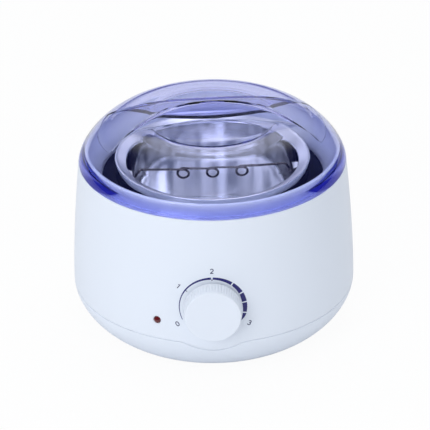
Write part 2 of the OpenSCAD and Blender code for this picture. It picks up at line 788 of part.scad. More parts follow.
module terminal_block() {
    color([0.90, 0.90, 0.88]) difference() {
        translate([-block_w / 2, block_y, floor_top_z]) cube([block_w, block_d, block_h]);
        for (i = [-1 : 1]) translate([i * block_pitch, block_y, floor_top_z + block_h / 2]) {
            translate([0, -1, 0]) rotate([-90, 0, 0])
                cylinder(r = terminal_bore_r, h = block_d + 2, $fn = fine);
            translate([0, block_d / 2, 0]) cylinder(r = screw_r + 0.1, h = block_h, $fn = fine);
        }
    }
}

module terminal_screws() {
    color([0.82, 0.66, 0.32]) for (i = [-1 : 1])
        translate([i * block_pitch, block_y + block_d / 2, floor_top_z + block_h / 2 + terminal_bore_r])
            cylinder(r = screw_r, h = block_h / 2 - terminal_bore_r - block_screw_gap, $fn = fine);
}

// Wires inside the housing: a tube swept along hand-chosen points
function at_turn(a, r, z) = [r * cos(a), r * sin(a), z];
lead_paths = [
    [[-block_pitch, block_y + 1, block_lead_z], [-block_pitch, block_y - 8, block_lead_z],
        [-lead_side_x, lead_run * 2 / 3, lead_low_z], [-lead_side_x, -lead_run, lead_low_z],
        [-tab_x, tab_y + 4, lead_drop_z - 2], [-tab_x, tab_y, tab_end_z - 4], [-tab_x, tab_y, tab_end_z]],
    [[tab_x, tab_y, tab_end_z], [tab_x, tab_y, tab_end_z - 4], [20, tab_y + 13, lead_drop_z],
        at_turn(terminal_turns[0], lead_ring_r, lead_drop_z + 2),
        at_turn(terminal_turns[0], lead_ring_r, shield_z - 5),
        at_turn(terminal_turns[0], lead_ring_r, terminal_foot_z)],
    [at_turn(terminal_turns[1], lead_ring_r, terminal_foot_z),
        at_turn(terminal_turns[1], lead_ring_r, lead_under_z + 0.8),
        at_turn(terminal_turns[1], lead_ring_r * 0.8, lead_under_z),
        [-16, -6, lead_under_z], [-fuse_len / 2 - 5, 0, fuse_z], [-fuse_len / 2, 0, fuse_z]],
    [[fuse_len / 2 + fuse_tip, 0, fuse_z], [fuse_lead_x - 2, 0, fuse_z], [fuse_lead_x, 0, fuse_z - 2.5],
        [fuse_lead_x, 0, lead_drop_z], [block_pitch, lead_run, lead_low_z + 1],
        [block_pitch, block_y - 8, block_lead_z], [block_pitch, block_y + 1, block_lead_z]]
];

function unit(v) = v / norm(v);
function ring_dir(path, i) = i == 0 ? unit(path[1] - path[0])
    : i == len(path) - 1 ? unit(path[i] - path[i - 1])
    : unit(unit(path[i] - path[i - 1]) + unit(path[i + 1] - path[i]));
function side_of(dir, hint) = unit(cross(dir, hint));
function ring_at(centre, dir, hint, r, sides) = let (a = side_of(dir, hint), b = cross(dir, a))
    [for (k = [0 : sides - 1]) centre + r * (a * cos(k * 360 / sides) + b * sin(k * 360 / sides))];
function tube_faces(rings, sides) = concat(
    [[for (k = [0 : sides - 1]) k]],
    [for (i = [0 : rings - 2], k = [0 : sides - 1]) let (a = i * sides + k,
        b = i * sides + (k + 1) % sides) [b, a, a + sides]],
    [for (i = [0 : rings - 2], k = [0 : sides - 1]) let (a = i * sides + k,
        b = i * sides + (k + 1) % sides) [b, a + sides, b + sides]],
    [[for (k = [sides - 1 : -1 : 0]) (rings - 1) * sides + k]]);

module tube(path, r, hint, sides) {
    rings = [for (i = [0 : len(path) - 1]) ring_at(path[i], ring_dir(path, i), hint, r, sides)];
    polyhedron(points = [for (ring = rings) for (p = ring) p],
        faces = tube_faces(len(path), sides), convexity = 8);
}

module internal_leads() {
    color([0.80, 0.78, 0.72]) for (path = lead_paths) tube(path, lead_r, [0.31, 0.87, 0.12], lead_sides);
}

module rubber_feet() {
    color([0.12, 0.12, 0.13]) at_turns(foot_turns, foot_ring_r)
        cylinder(r = foot_r, h = foot_gap + foot_pocket, $fn = 64);
}

module screw(clear_len, grip) {
    cylinder(r = screw_head_r, h = screw_head_h, $fn = 48);
    cylinder(r = screw_r, h = screw_head_h + clear_len, $fn = fine);
    cylinder(r = pilot_r, h = screw_head_h + clear_len + grip, $fn = fine);
}

module base_screws() {
    color([0.70, 0.71, 0.74]) at_turns(screw_turns, screw_ring_r)
        translate([0, 0, foot_gap + head_recess - screw_head_h])
            screw(boss_foot_z - foot_gap - head_recess, base_grip);
}

module ring_screws() {
    color([0.70, 0.71, 0.74]) at_turns(ring_screw_turns, ring_screw_pcr)
        translate([0, 0, ring_base_z - screw_head_h]) screw(ring_disc_t, ring_boss_h - 1.5);
}

module bracket_screws() {
    color([0.70, 0.71, 0.74]) for (side = [-1, 1])
        translate([side * bracket_screw_x, bracket_y + bracket_t + screw_head_h, knob_z])
            rotate([90, 0, 0]) screw(bracket_t, bracket_grip);
}

module rating_plate() {
    color([0.80, 0.81, 0.83]) translate([-plate_w / 2, -plate_d / 2, foot_gap - plate_t])
        cube([plate_w, plate_d, plate_t]);
}

// Spun metal pot with a dished rim, a turned-down edge and a rounded bottom corner
module wax_pot() {
    inner_corner = [for (a = [0 : 10 : 90]) [
        pot_r - pot_corner_r + pot_corner_r * cos(a),
        pot_bottom_z + pot_t + pot_corner_r - pot_corner_r * sin(a)]];
    outer_r = pot_corner_r + pot_t;
    outer_corner = [for (a = [90 : -10 : 0]) [
        pot_out_r - outer_r + outer_r * cos(a), pot_bottom_z + outer_r - outer_r * sin(a)]];
    color([0.78, 0.80, 0.84]) rotate_extrude() polygon(concat(
        [[0, pot_bottom_z]], outer_corner,
        [[pot_out_r, seat_z], [pot_out_r + seat_w, seat_z], [crest_r, pot_top_z - rim_thick],
            [crest_r, pot_top_z - pot_lip_h], [pot_lip_r, pot_top_z - pot_lip_h],
            [pot_lip_r, pot_top_z - pot_lip_t], [crest_r + pot_lip_t / 2, pot_top_z - pot_lip_t / 4],
            [crest_r, pot_top_z], [crest_r - pot_lip_t, pot_top_z - pot_lip_t / 4],
            [pot_r + mouth_ease, mouth_z], [pot_r, mouth_z - mouth_ease]],
        inner_corner, [[0, pot_bottom_z + pot_t]]));
}

// Small blocks on the pot's inner wall that hold the ends of the wire bar
module pot_lugs() {
    color([0.70, 0.72, 0.76]) rotate(pot_turn) for (side = [0, 1]) mirror([side, 0, 0])
        difference() {
            intersection() {
                translate([pot_r - lug_t, -lug_w / 2, pivot_z - lug_w / 2])
                    cube([lug_t + 2, lug_w, lug_w]);
                translate([0, 0, pivot_z - lug_w]) cylinder(r = pot_r, h = 2 * lug_w);
            }
            translate([pot_r - lug_t - 1, 0, pivot_z]) rotate([0, 90, 0])
                cylinder(r = pivot_hole_r, h = pivot_tip - pot_r + lug_t + 1.2, $fn = 48);
        }
}

// Points of one ring in the wire: down and round, shifted sideways as it goes
function ring_points(x) = [for (i = [0 : ring_steps]) let (a = i * 360 / ring_steps)
    [x + ring_r * sin(a), ring_shift * (i / ring_steps - 0.5),
        pivot_z + bar_rise - ring_r + ring_r * cos(a)]];
function bend(corner, from, to, r, n) = [for (i = [0 : n]) let (t = i / n,
    a = corner + unit(from - corner) * r, b = corner + unit(to - corner) * r)
    a * (1 - t) * (1 - t) + corner * 2 * t * (1 - t) + b * t * t];
wire_tip = [-pivot_tip, 0, pivot_z];
wire_foot = [-wire_leg_x, 0, pivot_z];
wire_corner = [-bar_half, 0, pivot_z + bar_rise];
wire_mid = [-ring_pitch - ring_r - 6, 0, pivot_z + bar_rise];
left_half = concat([wire_tip], bend(wire_foot, wire_tip, wire_corner, 1.4, 4),
    bend(wire_corner, wire_foot, wire_mid, 2.6, 6), [wire_mid]);
function mirrored(list) = [for (p = reversed(list)) [-p[0], -p[1], p[2]]];
wire_path = concat(left_half, ring_points(-ring_pitch), ring_points(0), ring_points(ring_pitch),
    mirrored(left_half));

module wire_bar() {
    color([0.66, 0.66, 0.68]) rotate(pot_turn) tube(wire_path, wire_r, [0.02, 1, 0.01], 10);
}

// Plan of the handle: a bar whose sides are hollowed from front and back
module handle_sides(inset) {
    low_z = lid_foot_z;
    spread = handle_draft * (handle_top_z - low_z) / (handle_top_z - lid_top_z);
    for (side = [0, 1]) mirror([0, side, 0])
        translate([0, -handle_side_r - handle_half_w, low_z])
            cylinder(r1 = handle_side_r + inset - spread, r2 = handle_side_r + inset,
                h = handle_top_z - low_z + eps, $fn = 180);
}

module crown_solid(inset) {
    rotate_extrude($fn = 180) polygon(concat(
        [[0, lid_foot_z - eps * (inset > 0 ? 1 : 0)]],
        [[lid_r - inset, lid_foot_z - eps * (inset > 0 ? 1 : 0)]],
        reversed(crown_line(inset)),
        [[dish_r, lid_top_z - inset], [dish_r - dish_edge, lid_top_z - dish_h - inset],
            [0, lid_top_z - dish_h - inset]]));
}

module handle_solid(inset) {
    difference() {
        rotate_extrude($fn = 180) polygon(concat([[0, lid_foot_z + 1]],
            [[handle_end_r - inset, lid_foot_z + 1]],
            reversed([for (p = ridge_line(inset)) if (p[0] <= handle_end_r - inset) p])));
        handle_sides(inset);
    }
}

module lid() {
    color([0.62, 0.65, 0.90, 0.45]) rotate(pot_turn) difference() {
        union() {
            crown_solid(0);
            handle_solid(0);
        }
        intersection() {
            crown_solid(lid_t);
            translate([0, 0, lid_foot_z - 1]) cylinder(r = lid_in_r, h = handle_h, $fn = 180);
        }
        handle_solid(lid_t);
    }
}

housing_shell();
base_cover();
funnel_ring();
insulating_ring();
heater_well();
heater_band();
band_clamp();
band_bolts();
heater_terminals();
heat_shield();
thermal_fuse();
fuse_clip();
thermostat_body();
thermostat_tabs();
thermostat_bracket();
thermostat_nut();
thermostat_shaft();
knob();
knob_spring();
indicator_lens();
lamp_holder();
indicator_lamp();
cord_gland();
gland_nut();
terminal_block();
terminal_screws();
internal_leads();
rubber_feet();
base_screws();
ring_screws();
bracket_screws();
rating_plate();
wax_pot();
pot_lugs();
wire_bar();
lid();
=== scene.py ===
"""Dresses the wax warmer's CAD frame: smooth skins, finishes, print, light and camera."""
import json
import math

import bmesh
import bpy
from mathutils import Matrix, Vector


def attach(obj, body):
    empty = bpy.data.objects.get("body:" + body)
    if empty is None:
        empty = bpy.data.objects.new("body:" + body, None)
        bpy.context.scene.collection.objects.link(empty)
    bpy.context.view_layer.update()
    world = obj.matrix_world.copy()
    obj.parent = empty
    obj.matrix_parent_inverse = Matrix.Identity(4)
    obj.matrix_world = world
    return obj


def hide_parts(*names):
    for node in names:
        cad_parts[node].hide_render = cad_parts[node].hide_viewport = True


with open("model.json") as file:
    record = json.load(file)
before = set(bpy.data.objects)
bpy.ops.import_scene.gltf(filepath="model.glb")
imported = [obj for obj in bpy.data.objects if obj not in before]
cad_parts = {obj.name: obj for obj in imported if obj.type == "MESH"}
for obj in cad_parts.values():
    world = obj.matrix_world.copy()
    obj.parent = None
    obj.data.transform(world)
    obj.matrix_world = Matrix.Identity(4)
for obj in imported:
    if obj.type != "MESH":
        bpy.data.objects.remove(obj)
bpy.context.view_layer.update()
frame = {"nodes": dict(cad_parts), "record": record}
NODES = frame["nodes"]
MM = 0.001

# Driving sizes, in mm and degrees: the same as the CAD source's
BODY_R = 90.4
BELLY_Z = 29.0
WALL_TAPER = 5.7
TAPER_POWER = 1.57
UNDER_H = 34.0
UNDER_D = 41.7
UNDER_POWER = 1.75
WALL_T = 2.6
SEAM_Z = 28.3
TONGUE_R = 30.4
FOOT_GAP = 1.5
POT_R = 54.0
POT_T = 1.4
POT_FOOT_Z = 48.0
POT_H = 65.0
POT_RISE = 1.7
POT_TURN = 5
KNOB_Z = 53.0
KNOB_GAP = 0.5
KNOB_LEN = 9.8
LAMP_Z = 41.5
LAMP_TURN = -112.6
GLAND_Z = 45.0
POT_TOP_Z = POT_FOOT_Z + POT_H
LEDGE_Z = POT_TOP_Z - POT_RISE

# Sides of large, small and fine round shapes, and the distance in metres at which points
# become one
SIDES = 320
ROD_SIDES = 64
FINE_SIDES = 48
WELD = 1e-6


def wall_r(z):
    """Outer radius of the body at height z."""
    if z < BELLY_Z:
        t = ((BELLY_Z - z) / UNDER_H) ** UNDER_POWER
        return BODY_R - UNDER_D * (1 - (1 - t) ** (1 / UNDER_POWER))
    return BODY_R - WALL_TAPER * ((z - BELLY_Z) / (LEDGE_Z - BELLY_Z)) ** TAPER_POWER


# Node trees
class Nodes:
    """Short calls that add nodes to one tree."""

    def __init__(self, tree, space):
        self.tree = tree
        self.space = space

    def add(self, kind, **values):
        """A new node; each value goes to its socket or setting of that name."""
        node = self.tree.nodes.new(kind)
        for key, value in values.items():
            if key in node.inputs:
                node.inputs[key].default_value = value
            else:
                setattr(node, key, value)
        return node

    def link(self, a, b):
        self.tree.links.new(a, b)

    def noise(self, scale, stretch=(1, 1, 1), detail=3.0):
        where = self.add("ShaderNodeTexCoord")
        mapping = self.add("ShaderNodeMapping", Scale=stretch)
        node = self.add("ShaderNodeTexNoise", Scale=scale, Detail=detail)
        self.link(where.outputs[self.space], mapping.inputs["Vector"])
        self.link(mapping.outputs["Vector"], node.inputs["Vector"])
        return node.outputs["Fac"]

    def ramp(self, fac, low, high, start=0.35, end=0.65):
        """A colour that goes from low to high while fac goes from start to end."""
        node = self.add("ShaderNodeValToRGB")
        first, last = node.color_ramp.elements
        first.position, last.position = start, end
        first.color, last.color = (*low, 1), (*high, 1)
        self.link(fac, node.inputs["Fac"])
        return node.outputs["Color"]

    def calc(self, kind, a, b):
        """One operation on two sockets, or on a socket and a number."""
        node = self.add("ShaderNodeMath", operation=kind)
        for socket, value in zip(node.inputs, (a, b)):
            if isinstance(value, float):
                socket.default_value = value
            else:
                self.link(value, socket)
        return node.outputs[0]

    def mix(self, fac, plain, other):
        """The plain shader where fac is 0, and the other where it is 1."""
        node = self.add("ShaderNodeMixShader")
        for socket, value in zip(node.inputs, (fac, plain, other)):
            self.link(value, socket)
        return node.outputs[0]


# Materials
class Finish(Nodes):
    """A new material and its shader."""

    def __init__(self, name):
        self.mat = bpy.data.materials.new(name)
        self.mat.use_nodes = True
        super().__init__(self.mat.node_tree, "Object")
        self.bsdf = self.tree.nodes["Principled BSDF"]
        self.out = self.tree.nodes["Material Output"]

    def set(self, **values):
        for key, value in values.items():
            self.bsdf.inputs[key.replace("_", " ")].default_value = value

    def range(self, fac, low, high):
        node = self.add("ShaderNodeMapRange")
        node.inputs["To Min"].default_value = low
        node.inputs["To Max"].default_value = high
        self.link(fac, node.inputs["Value"])
        return node.outputs["Result"]

    def colour(self, socket):
        self.link(socket, self.bsdf.inputs["Base Color"])

    def roughness(self, socket):
        self.link(socket, self.bsdf.inputs["Roughness"])

    def bump(self, height, strength, distance):
        node = self.add("ShaderNodeBump", Strength=strength, Distance=distance)
        self.link(height, node.inputs["Height"])
        self.link(node.outputs["Normal"], self.bsdf.inputs["Normal"])


def gloss_white():
    m = Finish("gloss_white")
    m.set(IOR=1.5, Coat_Weight=0.2, Coat_Roughness=0.1)
    m.colour(m.ramp(m.noise(12, detail=2), (0.770, 0.822, 0.915), (0.785, 0.835, 0.925), 0.2, 0.8))
    m.roughness(m.range(m.noise(60), 0.30, 0.38))
    m.bump(m.noise(300, detail=2), 0.015, 0.0001)
    return m.mat


def tinted_clear():
    m = Finish("tinted_clear")
    m.set(Base_Color=(1, 1, 1, 1), Transmission_Weight=1.0, IOR=1.5, Roughness=0.0,
          Specular_IOR_Level=0.25)
    tint = m.add("ShaderNodeVolumeAbsorption", Color=(0.05, 0.12, 0.80, 1), Density=138)
    m.link(tint.outputs["Volume"], m.out.inputs["Volume"])
    m.bump(m.noise(14, detail=1), 0.01, 0.001)
    return m.mat


def spun_metal():
    """Bright on upright walls and satin on level faces, with fine turned lines."""
    m = Finish("spun_metal")
    m.set(Metallic=1.0, Anisotropic=0.5, Anisotropic_Rotation=0.25)
    turned_way = m.add("ShaderNodeTangent", direction_type="RADIAL", axis="Z")
    m.link(turned_way.outputs["Tangent"], m.bsdf.inputs["Tangent"])
    m.colour(m.ramp(m.noise(30), (0.88, 0.90, 0.93), (0.95, 0.96, 0.98)))
    grain = m.range(m.noise(160, (1, 1, 12)), 0.8, 1.2)
    facing = m.add("ShaderNodeSeparateXYZ")
    m.link(m.add("ShaderNodeNewGeometry").outputs["Normal"], facing.inputs["Vector"])
    m.roughness(m.calc("MULTIPLY", m.range(facing.outputs["Z"], 0.08, 0.36), grain))
    m.bump(m.noise(600, (0.15, 0.15, 6), detail=2), 0.03, 0.0002)
    return m.mat


def plain_metal(name, low, high, rough):
    m = Finish(name)
    m.set(Metallic=1.0)
    m.colour(m.ramp(m.noise(60), low, high))
    m.roughness(m.range(m.noise(220, detail=4), rough * 0.7, rough * 1.3))
    m.bump(m.noise(900, detail=2), 0.08, 0.0002)
    return m.mat


def dull(name, low, high, rough, grain=700, strength=0.15, shine=0.5):
    m = Finish(name)
    m.set(Specular_IOR_Level=shine)
    m.colour(m.ramp(m.noise(70, detail=5), low, high))
    m.roughness(m.range(m.noise(150), rough - 0.06, rough + 0.06))
    m.bump(m.noise(grain, detail=3), strength, 0.0003)
    return m.mat


def lens_red():
    m = Finish("lens_red")
    m.set(IOR=1.5, Coat_Weight=0.5, Coat_Roughness=0.03, Roughness=0.15)
    m.colour(m.ramp(m.noise(500), (0.09, 0.002, 0.004), (0.17, 0.004, 0.008)))
    return m.mat


def print_ink(name, low, high):
    m = Finish(name)
    m.colour(m.ramp(m.noise(900), low, high))
    m.roughness(m.range(m.noise(400), 0.35, 0.5))
    return m.mat


WHITE = gloss_white()
TINT = tinted_clear()
SPUN = spun_metal()
WIRE = plain_metal("wire_bright", (0.09, 0.083, 0.08), (0.16, 0.148, 0.145), 0.2)
FINISH = {
    "white_plastic": WHITE,
    "tinted_plastic": TINT,
    "pot_metal": SPUN,
    "wire_steel": WIRE,
    "well_metal": plain_metal("well_metal_satin", (0.42, 0.44, 0.48), (0.56, 0.58, 0.62), 0.38),
    "steel": plain_metal("steel_plated", (0.50, 0.51, 0.54), (0.64, 0.65, 0.68), 0.32),
    "black_plastic": dull("black_phenolic", (0.003, 0.005, 0.009), (0.007, 0.010, 0.016), 0.6,
                          shine=0.08),
    "lens_red": lens_red(),
    "lamp_glass": dull("lamp_glass_warm", (0.70, 0.28, 0.10), (0.80, 0.36, 0.15), 0.15),
    "foot_rubber": dull("foot_rubber", (0.018, 0.018, 0.020), (0.040, 0.040, 0.044), 0.8),
    "heater_skin": plain_metal("heater_mica_steel", (0.28, 0.24, 0.17), (0.46, 0.42, 0.34), 0.5),
    "contact_brass": plain_metal("contact_brass", (0.62, 0.42, 0.14), (0.76, 0.56, 0.24), 0.3),
    "block_ceramic": dull("block_ceramic", (0.70, 0.69, 0.63), (0.80, 0.79, 0.74), 0.45),
    "thermostat_case": dull("thermostat_ceramic", (0.60, 0.56, 0.45), (0.72, 0.68, 0.58), 0.5),
    "lead_sleeve": dull("lead_glass_sleeve", (0.52, 0.50, 0.43), (0.68, 0.66, 0.60), 0.8,
                        grain=2500, strength=0.5),
    "plate_foil": plain_metal("plate_foil", (0.66, 0.67, 0.70), (0.76, 0.77, 0.80), 0.45),
}
INK = print_ink("ink_blue", (0.012, 0.010, 0.14), (0.020, 0.018, 0.18))
INK_GREY = print_ink("ink_grey", (0.030, 0.032, 0.10), (0.045, 0.048, 0.13))


def finish_nodes():
    """Gives each CAD node the finish of its material slot."""
    slots = {s["node"]: s["material_slot"] for s in frame["record"]["subparts"]}
    for name, obj in NODES.items():
        for holder in obj.material_slots:
            holder.material = FINISH[slots[name]]
        if not obj.material_slots:
            obj.data.materials.append(FINISH[slots[name]])


# Places and curves; a rounding takes at most this share of a straight run
CORNER_SHARE = 0.49


def moved(x, y, z):
    """A matrix that moves by millimetres."""
    return Matrix.Translation(Vector((x, y, z)) * MM)


def turned(degrees, axis):
    """A matrix that turns about an axis."""
    return Matrix.Rotation(math.radians(degrees), 4, axis)


def around(turns, radius):
    """Places (x, y) at these angles, in degrees, on one circle."""
    return [(radius * math.cos(math.radians(t)), radius * math.sin(math.radians(t))) for t in turns]


def curve(start, bend, end, steps):
    """Points of a curve from start to end that is drawn toward bend."""
    return [start * (1 - t) ** 2 + bend * 2 * t * (1 - t) + end * t * t
            for t in (i / steps for i in range(steps + 1))]


def fillet(corner, before, after, radius, steps=4):
    """Points of a rounded corner between two straight runs, each cut back by less than half."""
    c, a, b = Vector(corner), Vector(before), Vector(after)
    start = c + (a - c).normalized() * min(radius, (a - c).length * CORNER_SHARE)
    end = c + (b - c).normalized() * min(radius, (b - c).length * CORNER_SHARE)
    return curve(start, c, end, steps)


def rounded(corners, steps=4):
    """An outline through corners (radius, height, rounding), each rounded by its own amount."""
    points, out = [corner[:2] for corner in corners], []
    for i, (point, corner) in enumerate(zip(points, corners)):
        if corner[2] > 0:
            out += fillet(point, points[i - 1], points[(i + 1) % len(points)], corner[2], steps)
        else:
            out.append(point)
    return out


# Meshes
def new_piece(name, verts, faces, material, smooth=True):
    """A mesh object from points in mm."""
    mesh = bpy.data.meshes.new(name)
    mesh.from_pydata([Vector(v) * MM for v in verts], [], faces)
    bm = bmesh.new()
    bm.from_mesh(mesh)
    bmesh.ops.remove_doubles(bm, verts=bm.verts, dist=WELD)
    bmesh.ops.recalc_face_normals(bm, faces=bm.faces)
    bm.to_mesh(mesh)
    bm.free()
    mesh.materials.append(material)
    mesh.polygons.foreach_set("use_smooth", [smooth] * len(mesh.polygons))
    obj = bpy.data.objects.new(name, mesh)
    bpy.context.scene.collection.objects.link(obj)
    return obj


def sharp_from(obj, degrees):
    """Shades the piece smooth, apart from edges sharper than this."""
    obj.data.set_sharp_from_angle(angle=math.radians(degrees))


def dress(piece, body, node):
    """Puts a piece on its body in place of a CAD node."""
    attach(piece, body)
    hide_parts(node)


def upright(r, a, h):
    """A point at radius r and angle a round the body's axis, at height h."""
    return (r * math.cos(a), r * math.sin(a), h)


def loop_solid(name, section, material, sides=SIDES, where=upright):
    """A closed solid: section(angle) gives its outline, and where() places each point."""
    verts, faces, count = [], [], 0
    for k in range(sides):
        a = 2 * math.pi * k / sides
        points = section(a)
        count = len(points)
        verts.extend(where(r, a, h) for r, h in points)
    for k in range(sides):
        a, b = k * count, ((k + 1) % sides) * count
        for i in range(count):
            j = (i + 1) % count
            faces.append([a + i, b + i, b + j, a + j])
    return new_piece(name, verts, faces, material)


def white_solid(name, outline, place, sides=ROD_SIDES):
    """A white solid with one outline all round, placed by a matrix."""
    piece = loop_solid(name, lambda a: outline, WHITE, sides)
    piece.data.transform(place)
    return piece


def rod(name, radius, low, high, place, sides=ROD_SIDES):
    """A closed cylinder."""
    return white_solid(name, [(0, low), (radius, low), (radius, high), (0, high)], place, sides)


def tube(name, inner, outer, low, high, place, sides=ROD_SIDES):
    """A closed pipe."""
    outline = [(inner, low), (outer, low), (outer, high), (inner, high)]
    return white_solid(name, outline, place, sides)


def box(name, low, high, place):
    """A white box between two corners, placed by a matrix."""
    corners = [(x, y, z) for x in (low[0], high[0]) for y in (low[1], high[1])
               for z in (low[2], high[2])]
    faces = [[0, 1, 3, 2], [4, 6, 7, 5], [0, 4, 5, 1], [2, 3, 7, 6], [0, 2, 6, 4], [1, 5, 7, 3]]
    piece = new_piece(name, corners, faces, WHITE, smooth=False)
    piece.data.transform(place)
    return piece


def join(piece, others):
    """Adds the other pieces' meshes to the first one's."""
    bm = bmesh.new()
    for obj in [piece, *others]:
        bm.from_mesh(obj.data)
    bm.to_mesh(piece.data)
    bm.free()
    for obj in others:
        bpy.data.objects.remove(obj)
    return piece


def cut(piece, cutters):
    """Takes the cutters' shapes out of the piece."""
    tool = join(cutters[0], cutters[1:])
    change = piece.modifiers.new("cut", "BOOLEAN")
    change.operation, change.object, change.solver = "DIFFERENCE", tool, "EXACT"
    bpy.context.view_layer.update()
    seen = piece.evaluated_get(bpy.context.evaluated_depsgraph_get())
    mesh = bpy.data.meshes.new_from_object(seen)
    piece.modifiers.clear()
    piece.data = mesh
    bpy.data.objects.remove(tool)


# Housing and base: sizes as in the CAD source
LEDGE_W = 5.3
UPSTAND_T = 1.6
UPSTAND_H = 6.0
LEDGE_RIB = 2.0
FLOOR_T = 2.6
HUB_R = 5.4
HUB_GAP = 0.8
LENS_HOLE_R = 2.5
GLAND_HOLE_R = 6.15
GLAND_POCKET_R = 8.2
GLAND_POCKET_D = 0.9
BRACKET_X = 20.5
BRACKET_GAP = 5.0
BRACKET_POST_R = 4.0
PILOT_R = 1.25
SCREW_HOLE_R = 1.7
HEAD_HOLE_R = 3.2
HEAD_RECESS = 7.0
SCREW_EDGE = 1.7
BOSS_R = 4.5
BOSS_LIFT = 0.7
BOSS_TOP_Z = 37.0
WEB_T = 2.4
WEB_GAP = 0.5
WEB_IN_R = 68.6
WEB_RISE = 15.0
FOOT_R = 6.5
FOOT_FIT = 0.1
FOOT_EDGE = 3.5
FOOT_POCKET = 1.2
VENT_COUNT = 20
VENT_W = 2.6
VENT_IN_R = 24.0
VENT_OUT_R = 44.0
LIP_BELOW = 3.6
LIP_ABOVE = 3.2
LIP_T = 1.6
LIP_FIT = 0.2
LIP_FIT_H = 2.2
POST_TURNS = (30, 150, 210, 330)
FOOT_TURNS = (45, 135, 225, 315)

# Housing and base: what follows from them
LEDGE_R = wall_r(LEDGE_Z)
UPSTAND_R = LEDGE_R - LEDGE_W
UPSTAND_IN_R = UPSTAND_R - UPSTAND_T
UPSTAND_Z = LEDGE_Z + UPSTAND_H
LEDGE_UNDER_Z = LEDGE_Z - WALL_T - LEDGE_RIB
FLOOR_TOP = FOOT_GAP + FLOOR_T
SEAM_R = wall_r(SEAM_Z)
BASE_EDGE_R = wall_r(FOOT_GAP)
SHAFT_HOLE_R = HUB_R + HUB_GAP
FOOT_HOLE_R = FOOT_R + FOOT_FIT
BOSS_FOOT_Z = SEAM_Z + BOSS_LIFT
LIP_Z = KNOB_Z - TONGUE_R - LIP_BELOW
LIP_TOP_Z = SEAM_Z + LIP_ABOVE
LIP_R = wall_r(LIP_Z + LIP_FIT_H) - WALL_T - LIP_FIT
WEB_FOOT_Z = LIP_TOP_Z + WEB_GAP

# The circles of the base's screws and feet, rounded to a hundredth of a mm
RING_DECIMALS = 2
POST_R = round(BASE_EDGE_R - SCREW_EDGE - HEAD_HOLE_R, RING_DECIMALS)
FOOT_RING_R = round(BASE_EDGE_R - FOOT_EDGE - FOOT_R, RING_DECIMALS)

# Housing and base: how finely and softly they are drawn
EDGE = 0.4
EDGE_EASE = 0.3 * EDGE
SEAM_HALF = 0.09
SEAM_SOFT = 1.6
DIP_HALF_W = TONGUE_R - 1.0
HOUSING_STEPS = (44, 24)
BASE_STEPS = (20, 14)
CUT_PAST = 8.0
CUT_LAP = 0.4
CUT_TOP_Z = 6.0
SINK = 1.0
BRACKET_POST_SHORT = 1.4
WALL_SHARP = 32


def seam_height(a):
    """Height of the seam's middle line, which dips round the dial."""
    x = SEAM_R * math.cos(a)
    if math.sin(a) > 0 or abs(x) >= DIP_HALF_W:
        return SEAM_Z
    depth = SEAM_Z - (KNOB_Z - math.sqrt(TONGUE_R ** 2 - x * x))
    return SEAM_Z - (depth + math.hypot(depth, SEAM_SOFT)) / 2


def wall_run(low, high, inset, steps):
    """Points along the wall, from one height to another."""
    heights = [low + (high - low) * i / steps for i in range(steps + 1)]
    return [(wall_r(z) - inset, z) for z in heights]


def housing_section(a):
    foot = seam_height(a) + SEAM_HALF
    foot_r = wall_r(foot)
    outer_steps, inner_steps = HOUSING_STEPS
    points = [(foot_r - EDGE, foot), (foot_r - EDGE_EASE, foot + EDGE_EASE)]
    points += wall_run(foot + EDGE, LEDGE_Z - EDGE, 0, outer_steps)
    points += [(LEDGE_R - EDGE_EASE, LEDGE_Z - EDGE_EASE), (LEDGE_R - EDGE, LEDGE_Z)]
    points += [(UPSTAND_R + EDGE, LEDGE_Z), (UPSTAND_R, LEDGE_Z + EDGE), (UPSTAND_R, UPSTAND_Z),
               (UPSTAND_IN_R, UPSTAND_Z), (UPSTAND_IN_R, LEDGE_UNDER_Z)]
    return points + wall_run(LEDGE_Z - WALL_T - EDGE, foot, WALL_T, inner_steps)


def base_section(a):
    brim = seam_height(a) - SEAM_HALF
    brim_r = wall_r(brim)
    outer_steps, inner_steps = BASE_STEPS
    outer = wall_run(FOOT_GAP, brim - EDGE, 0, outer_steps)
    outer[0] = (outer[0][0] - EDGE, FOOT_GAP)
    points = [(0, FOOT_GAP)] + outer
    points += [(brim_r - EDGE_EASE, brim - EDGE_EASE), (brim_r - EDGE, brim)]
    return points + wall_run(brim, FLOOR_TOP, WALL_T, inner_steps) + [(0, FLOOR_TOP)]


def screw_boss(x, y, turn):
    """A boss for a base screw, and the two webs that tie it to the wall."""
    pieces = [tube("boss", PILOT_R, BOSS_R, BOSS_FOOT_Z, BOSS_TOP_Z, moved(x, y, 0))]
    for start, top in ((POST_R + SINK, BOSS_TOP_Z), (WEB_IN_R, BOSS_TOP_Z + WEB_RISE)):
        low, high = (start, -WEB_T / 2, WEB_FOOT_Z), (wall_r(top) - SINK, WEB_T / 2, top)
        pieces.append(box("web", low, high, turned(turn, "Z")))
    return pieces


